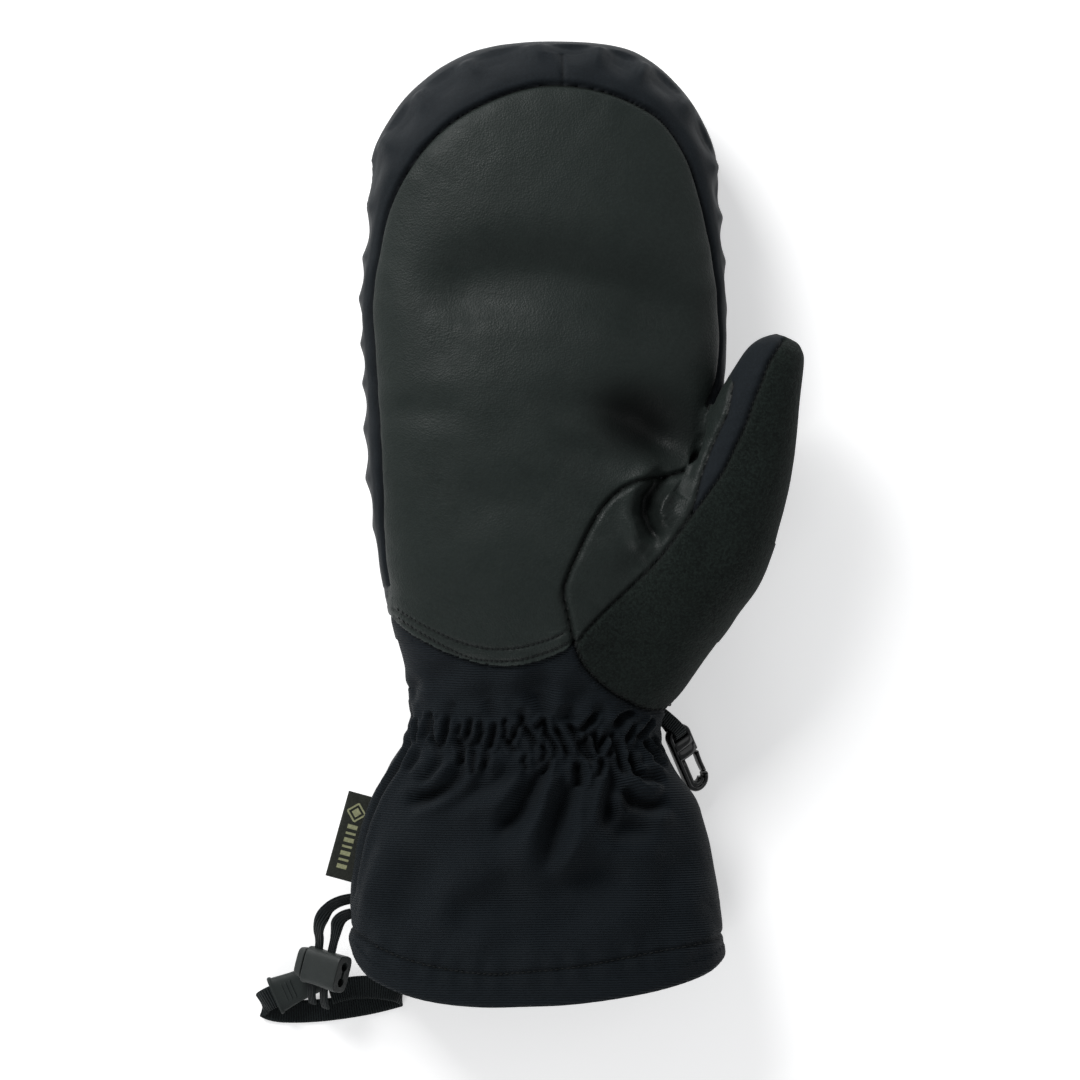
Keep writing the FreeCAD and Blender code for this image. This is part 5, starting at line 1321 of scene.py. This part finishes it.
print("cord lengths", round(n1, 1), round(n2, 1), round(n3, 1))


# ------------------------------------------------------------------ moulded pieces
def rounded_loft(sections, n=40, e=5.0, cap_ends=True):
    """Sections are (x, half width, half height, y shift, z shift) of rounded rectangles across X."""
    verts, faces = [], []
    for x, a, b, dy, dz in sections:
        for k in range(n):
            t = 2 * math.pi * (k + 0.5) / n
            ct, st = math.cos(t), math.sin(t)
            verts.append((x, dy + a * math.copysign(abs(ct) ** (2 / e), ct), dz + b * math.copysign(abs(st) ** (2 / e), st)))
    for i in range(len(sections) - 1):
        for k in range(n):
            m = (k + 1) % n
            faces.append((i * n + k, i * n + m, (i + 1) * n + m, (i + 1) * n + k))
    if cap_ends:
        faces.append(tuple(range(n))[::-1])
        faces.append(tuple((len(sections) - 1) * n + k for k in range(n)))
    return verts, faces


def box_mesh(x0, x1, y0, y1, z0, z1):
    v8 = [(x, y, z) for x in (x0, x1) for y in (y0, y1) for z in (z0, z1)]
    return v8, [(0, 1, 3, 2), (4, 6, 7, 5), (0, 4, 5, 1), (2, 3, 7, 6), (0, 2, 6, 4), (1, 5, 7, 3)]


def cyl_mesh(x0, x1, y, z, r, n=28):
    v_, f_ = [], []
    for x in (x0, x1):
        for k in range(n):
            t = 2 * math.pi * k / n
            v_.append((x, y + r * math.cos(t), z + r * math.sin(t)))
    for k in range(n):
        m = (k + 1) % n
        f_.append((k, m, n + m, n + k))
    f_ += [tuple(range(n))[::-1], tuple(n + k for k in range(n))]
    return v_, f_


def rigid(name, verts, faces, material, matrix, cuts=(), bevel=0.25, adds=()):
    """A moulded piece: a solid, minus cutters, with small bevelled edges, placed by a matrix."""
    o = new_object(name, verts, faces, material)
    for i, (cv, cf) in enumerate(cuts):
        c = new_object("cutter", cv, cf, material)
        mod = o.modifiers.new("cut", "BOOLEAN")
        mod.operation, mod.solver, mod.object = "DIFFERENCE", "EXACT", c
        me = bpy.data.meshes.new_from_object(o.evaluated_get(bpy.context.evaluated_depsgraph_get()))
        o.modifiers.clear()
        o.data = me
        bpy.data.objects.remove(c)
    if bevel:
        b = o.modifiers.new("bevel", "BEVEL")
        b.width, b.segments, b.limit_method, b.angle_limit = bevel * MM, 3, "ANGLE", math.radians(38)
        b.harden_normals = False
        me = bpy.data.meshes.new_from_object(o.evaluated_get(bpy.context.evaluated_depsgraph_get()))
        o.modifiers.clear()
        o.data = me
    for (av, af) in adds:
        a = new_object("add", av, af, material)
        import bmesh
        bm = bmesh.new()
        bm.from_mesh(o.data)
        bm.from_mesh(a.data)
        bm.to_mesh(o.data)
        bm.free()
        bpy.data.objects.remove(a)
    o.data.transform(matrix)
    o.data.name = name
    for p in o.data.polygons:
        p.use_smooth = True
    w = o.modifiers.new("even", "WEIGHTED_NORMAL")
    w.keep_sharp = True
    me = bpy.data.meshes.new_from_object(o.evaluated_get(bpy.context.evaluated_depsgraph_get()))
    o.modifiers.clear()
    o.data = me
    if not o.data.materials:
        o.data.materials.append(material)
    return o


def mm_matrix(rot, loc):
    m = rot.to_4x4()
    m.translation = Vector(loc) * MM
    return m


ML = mm_matrix(RX, LC)
hx = 7.25
lock_v, lock_f = rounded_loft([(-hx, 6.5, 4.25, 0, 0), (-hx + 0.5, 6.6, 4.35, 0, 0), (-hx + 1.3, 6.3, 4.15, 0, 0), (-3.0, 6.2, 4.1, 0, 0), (2.0, 6.3, 4.15, 0, 0),
                               (hx - 0.9, 6.5, 4.25, 0, 0), (hx - 0.2, 6.35, 4.1, 0, 0), (hx, 6.0, 3.8, 0, 0)], 48, 4.2)
o_lock = rigid("cord_lock_shell", lock_v, lock_f, M_LOCK, ML, cuts=[
    box_mesh(-hx - 1, 5.05, -3.2, 3.2, -2.3, 2.3), box_mesh(-4.8 - 2.0, -4.8 + 2.0, -9, 9, -1.0, 1.0), box_mesh(0.4 - 2.0, 0.4 + 2.0, -9, 9, -1.0, 1.0),
    cyl_mesh(3.0, 9.0, -2.75, 0, 1.65), cyl_mesh(3.0, 9.0, 2.75, 0, 1.65), box_mesh(3.0, 9.0, -2.2, 2.2, -0.62, 0.62)], bevel=0.3)
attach(o_lock, "cord_lock")
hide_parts("cord_lock_housing")
hd_v, hd_f = rounded_loft([(-11.35, 4.6, 2.8, 0, 0), (-11.2, 5.0, 3.25, 0, 0), (-10.6, 5.25, 3.45, 0, 0), (-9.6, 5.3, 3.5, 0, 0), (-8.6, 5.6, 3.7, 0, 0), (-8.2, 5.5, 3.6, 0, 0)], 40, 4.0)
bar_v, bar_f = rounded_loft([(-9.6, 3.0, 2.1, 0, 0), (-4.0, 3.0, 2.1, 0, 0), (2.9, 3.0, 2.1, 0, 0)], 24, 6.0)
o_pl = rigid("cord_lock_button", hd_v, hd_f, M_LOCK, Matrix.Identity(4), bevel=0.2)
bar_o = rigid("bar", bar_v, bar_f, M_LOCK, Matrix.Identity(4), cuts=[box_mesh(-7.5, -2.9, -4, 4, -1.0, 1.0), box_mesh(-2.3, 2.3, -4, 4, -1.0, 1.0)], bevel=0.0)
import bmesh
bm = bmesh.new()
bm.from_mesh(o_pl.data)
bm.from_mesh(bar_o.data)
bm.to_mesh(o_pl.data)
bm.free()
bpy.data.objects.remove(bar_o)
o_pl.data.transform(ML)
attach(o_pl, "lock_plunger")
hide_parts("cord_lock_plunger")

GR = Matrix.Rotation(math.atan2(GD.y, GD.x), 3, "Z")
MG = mm_matrix(GR, GC)
g_v, g_f = rounded_loft([(-9.0, 4.9, 2.1, 0, 0), (-8.6, 5.2, 2.4, 0, 0), (-4, 5.15, 2.35, 0, 0), (1, 5.4, 2.5, 0, 0), (5.5, 6.0, 2.85, 0, 0), (7.6, 6.3, 3.0, 0, 0),
                         (8.0, 6.75, 3.3, 0, 0), (8.6, 6.9, 3.35, 0, 0), (9.0, 6.7, 3.2, 0, 0)], 44, 3.6)
ridges = [rounded_loft([(x - 0.45, 3.2, 0.15, 0, 2.35 + 0.07 * k), (x - 0.2, 3.3, 0.5, 0, 2.4 + 0.07 * k), (x + 0.2, 3.3, 0.5, 0, 2.4 + 0.07 * k),
                        (x + 0.45, 3.2, 0.15, 0, 2.35 + 0.07 * k)], 20, 4.0) for k, x in enumerate((1.9, 3.5, 5.1))]
o_grip = rigid("pull_grip_sleeve", g_v, g_f, M_GRIP, MG, cuts=[box_mesh(-12, 12, -4.3, 4.3, -1.0, 1.0), rounded_loft([(7.2, 4.4, 1.0, 0, 0), (9.4, 5.6, 2.3, 0, 0)], 32, 4.0)],
               bevel=0.2, adds=ridges)
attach(o_grip, "gauntlet")
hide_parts("pull_grip")


# ------------------------------------------------------------------ clip
CU = Vector((0.39, -0.92, 0))
CR = Matrix.Rotation(math.atan2(CU.y, CU.x), 3, "Z") @ Matrix.Rotation(math.radians(26), 3, "Y") @ Matrix.Rotation(math.radians(-25), 3, "X")
CC = Vector(((680 - U0) * K + 3.0, (V0 - 760) * K, 11.6))
MC = mm_matrix(CR, CC)


def sweep(path, a, b, n=16, e=2.6):
    """Rounded bar along a flat path (x, y): a is its half width in the plane, b its half height."""
    p = np.array(path, float)
    tan = np.gradient(p, axis=0)
    tan /= np.linalg.norm(tan, axis=1, keepdims=True)
    verts, faces = [], []
    for q, t_ in zip(p, tan):
        nx, ny = -t_[1], t_[0]
        for k in range(n):
            th = 2 * math.pi * k / n
            c, s = math.cos(th), math.sin(th)
            ca, sa = math.copysign(abs(c) ** (2 / e), c) * a, math.copysign(abs(s) ** (2 / e), s) * b
            verts.append((q[0] + nx * ca, q[1] + ny * ca, sa))
    for i in range(len(p) - 1):
        for k in range(n):
            m = (k + 1) % n
            faces.append((i * n + k, i * n + m, (i + 1) * n + m, (i + 1) * n + k))
    faces.append(tuple(range(n))[::-1])
    faces.append(tuple((len(p) - 1) * n + k for k in range(n)))
    return verts, faces


def arc_pts(cx, cy, r, a0, a1, n):
    return [(cx + r * math.cos(math.radians(a0 + (a1 - a0) * k / n)), cy + r * math.sin(math.radians(a0 + (a1 - a0) * k / n))) for k in range(n + 1)]


W2 = 3.75
frame_path = [(8.9, W2), (9.6, W2)] + arc_pts(12.5 - W2 + 0.1, 0, W2, 88, -88, 26) + [(6, -W2), (2, -W2), (-4, -W2), (-8.5, -W2)] + arc_pts(-12.4 + 3.0, -W2 + 3.0, 3.0, 265, 182, 12) + \
             arc_pts(-12.4 + 3.0, W2 - 3.0, 3.0, 178, 92, 12) + [(-7, W2), (-4.5, W2), (-1.7, W2)]
fv, ff = sweep(frame_path, 0.95, 1.75, 20, 3.4)
# inner rim that makes the ring thick, open where the gate moves
rim_path = arc_pts(12.5 - W2 - 0.2, 0, 2.45, 62, -88, 20) + [(6, -2.45), (2, -2.45), (-1.2, -2.6)]
rv_, rf_ = sweep(rim_path, 1.15, 1.45, 16, 3.0)
blk = rounded_loft([(-8.6, 2.9, 1.2, 0, 0), (-8.2, 3.9, 1.9, 0, 0), (-7.2, 4.25, 2.35, 0, 0), (-5.4, 4.25, 2.35, 0, 0), (-4.7, 4.05, 1.75, 0, 0), (-4.2, 4.05, 1.7, 0, 0), (-3.6, 4.25, 2.3, 0, 0),
                    (-1.8, 4.2, 2.3, 0, 0), (-0.9, 3.7, 1.8, 0, 0), (-0.4, 2.7, 1.2, 0, 0)], 36, 3.6)
o_clip = rigid("clip_frame_bar", fv, ff, M_CLIP, MC, bevel=0.0, adds=[blk, (rv_, rf_)])
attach(o_clip, "clip")
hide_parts("clip_frame")
gv, gf = sweep([(-0.2, W2 + 0.15), (0.9, W2 + 0.05), (4, W2 - 0.1), (6.8, W2), (7.9, W2 + 0.1)], 0.8, 1.5, 16, 3.2)
o_gate = rigid("clip_gate_bar", gv, gf, M_CLIP, MC, bevel=0.0)
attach(o_gate, "gate")
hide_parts("clip_gate")


def at_clip(x, y, z):
    return tuple(CC + CR @ Vector((x, y, z)))


cw = tuple(CR @ Vector((0, 1, 0)))
TR = [(32.4, -66.6, 21.7), at_clip(-13.5, 0, 3.0), at_clip(-9.5, 0, 2.5), at_clip(-9.4, 0, -2.5), at_clip(-13.5, 0, -3.0), (32.4, -66.6, 20.3)]
o_tab, _, _ = strap("clip_tab_loop", TR, [(0.75, 0.6, -0.1)] + [cw] * 4 + [(0.75, 0.6, -0.1)], 5.0, 0.9, M_WEB)
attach(o_tab, "gauntlet")
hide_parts("clip_tab")

# ------------------------------------------------------------------ labels
lx, ly = (349 - U0) * K, (V0 - 838) * K
la = math.radians(-15.5)


def label_point(a, b):
    """a across and b along the side label, from its middle, in millimetres, with a soft curl."""
    x = lx + a * math.cos(la) - b * math.sin(la)
    y = ly + a * math.sin(la) + b * math.cos(la)
    z = 20.0 + 0.9 * math.sin((b + 15) / 30 * math.pi) * (0.4 - a / 12) - 0.05 * (a + 4.8) + 0.9
    return x, y, z


lv_, lf_ = [], []
NA, NB = 13, 41
for side in (0.34, -0.34):
    for i in range(NB):
        for j in range(NA):
            a, b = -4.6 + 9.4 * j / (NA - 1), -15.2 + 30.4 * i / (NB - 1)
            x, y, z = label_point(a, b)
            lv_.append((x, y, z + side * (1 - (0.6 if j in (0,) else 0))))
for k in range(2):
    for i in range(NB - 1):
        for j in range(NA - 1):
            q = k * NA * NB + i * NA + j
            f = (q, q + 1, q + NA + 1, q + NA)
            lf_.append(f if k == 0 else f[::-1])
ring_i = [j for j in range(NA)] + [i * NA + NA - 1 for i in range(1, NB)] + [(NB - 1) * NA + j for j in range(NA - 2, -1, -1)] + [i * NA for i in range(NB - 2, 0, -1)]
for a, b in zip(ring_i, ring_i[1:] + ring_i[:1]):
    lf_.append((b, a, a + NA * NB, b + NA * NB))
o_lab = new_object("side_label_flag", lv_, lf_, M_LABEL)
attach(o_lab, "gauntlet")
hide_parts("side_label")


def raised(name, rects, material, body):
    """Raised threads on the side label: each rectangle is four corners (a, b)."""
    vs_, fs_ = [], []
    for r in rects:
        b0 = len(vs_)
        for h in (0.33, 0.48):
            for a, b in r:
                x, y, z = label_point(a, b)
                vs_.append((x, y, z + h))
        fs_ += [(b0, b0 + 1, b0 + 2, b0 + 3), (b0 + 7, b0 + 6, b0 + 5, b0 + 4)]
        fs_ += [(b0 + i, b0 + 4 + i, b0 + 4 + (i + 1) % 4, b0 + (i + 1) % 4) for i in range(4)]
    o = new_object(name, vs_, fs_, material, smooth=False)
    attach(o, body)
    return o


def bar(a0, b0, a1, b1, w):
    d = Vector((a1 - a0, b1 - b0)).normalized()
    n = Vector((-d.y, d.x)) * w / 2
    return [(a0 + n.x, b0 + n.y), (a0 - n.x, b0 - n.y), (a1 - n.x, b1 - n.y), (a1 + n.x, b1 + n.y)]


# a plain woven ornament: a ring of two nested lozenges and a row of short bars
motif = []
for r, w in ((3.2, 0.6),):
    c = [(0, 8.6 + r), (r, 8.6), (0, 8.6 - r), (-r, 8.6)]
    for p_, q_ in zip(c, c[1:] + c[:1]):
        motif.append(bar(*p_, *q_, w))
motif.append([(0, 8.6 + 1.7), (-1.7, 8.6), (0, 8.6 - 1.7), (1.7, 8.6)])
for k in range(7):
    b = 3.4 - k * 2.35
    motif.append(bar(-1.75, b, 1.75, b, 1.5 if k % 2 == 0 else 0.8))
raised("side_label_ornament", motif, M_MOTIF, "gauntlet")

cl = bpy.data.meshes.new("care")
cv_, cf_ = [], []
for k, zz_ in enumerate((4.35, 4.0)):
    for i in range(15):
        for j in range(8):
            x, y = -20 + 14 * j / 7, -147 + 28 * i / 14
            cv_.append((x, y, zz_ + 0.35 * math.sin(i / 14 * math.pi) * math.sin(j / 7 * math.pi)))
for k in range(2):
    for i in range(14):
        for j in range(7):
            q = k * 120 + i * 8 + j
            f = (q, q + 1, q + 9, q + 8)
            cf_.append(f if k == 0 else f[::-1])
o_care = new_object("care_label_sheet", cv_, cf_, M_FILM)
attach(o_care, "gauntlet")
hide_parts("care_label")

# the spring inside the lock: it is pressed shorter by the button
sp_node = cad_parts["cord_lock_spring"]
coil_me = sp_node.data.copy()
coil_me.transform(sp_node.matrix_world)
coil_me.name = "lock_spring_coil"
coil_me.materials.clear()
coil_me.materials.append(M_STEEL)
o_coil = bpy.data.objects.new("lock_spring_coil", coil_me)
scene.collection.objects.link(o_coil)
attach(o_coil, "cord_lock")
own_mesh(o_coil)
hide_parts("cord_lock_spring")

# ------------------------------------------------------------------ floor
fl = new_object("floor", [(-4000, -4000, 0), (4000, -4000, 0), (4000, 4000, 0), (-4000, 4000, 0)], [(0, 1, 2, 3)], M_FILM)
fm = Mat("floor_paper", (0.93, 0.93, 0.93), 0.9, 0.05)
fm.mix(fm.noise(2.0, 2), (0.925, 0.925, 0.925), (0.935, 0.935, 0.935))
fl.data.materials.clear()
fm.b.inputs["Emission Color"].default_value = (1, 1, 1, 1)
fm.b.inputs["Emission Strength"].default_value = 0.44
fl.data.materials.append(fm.m)
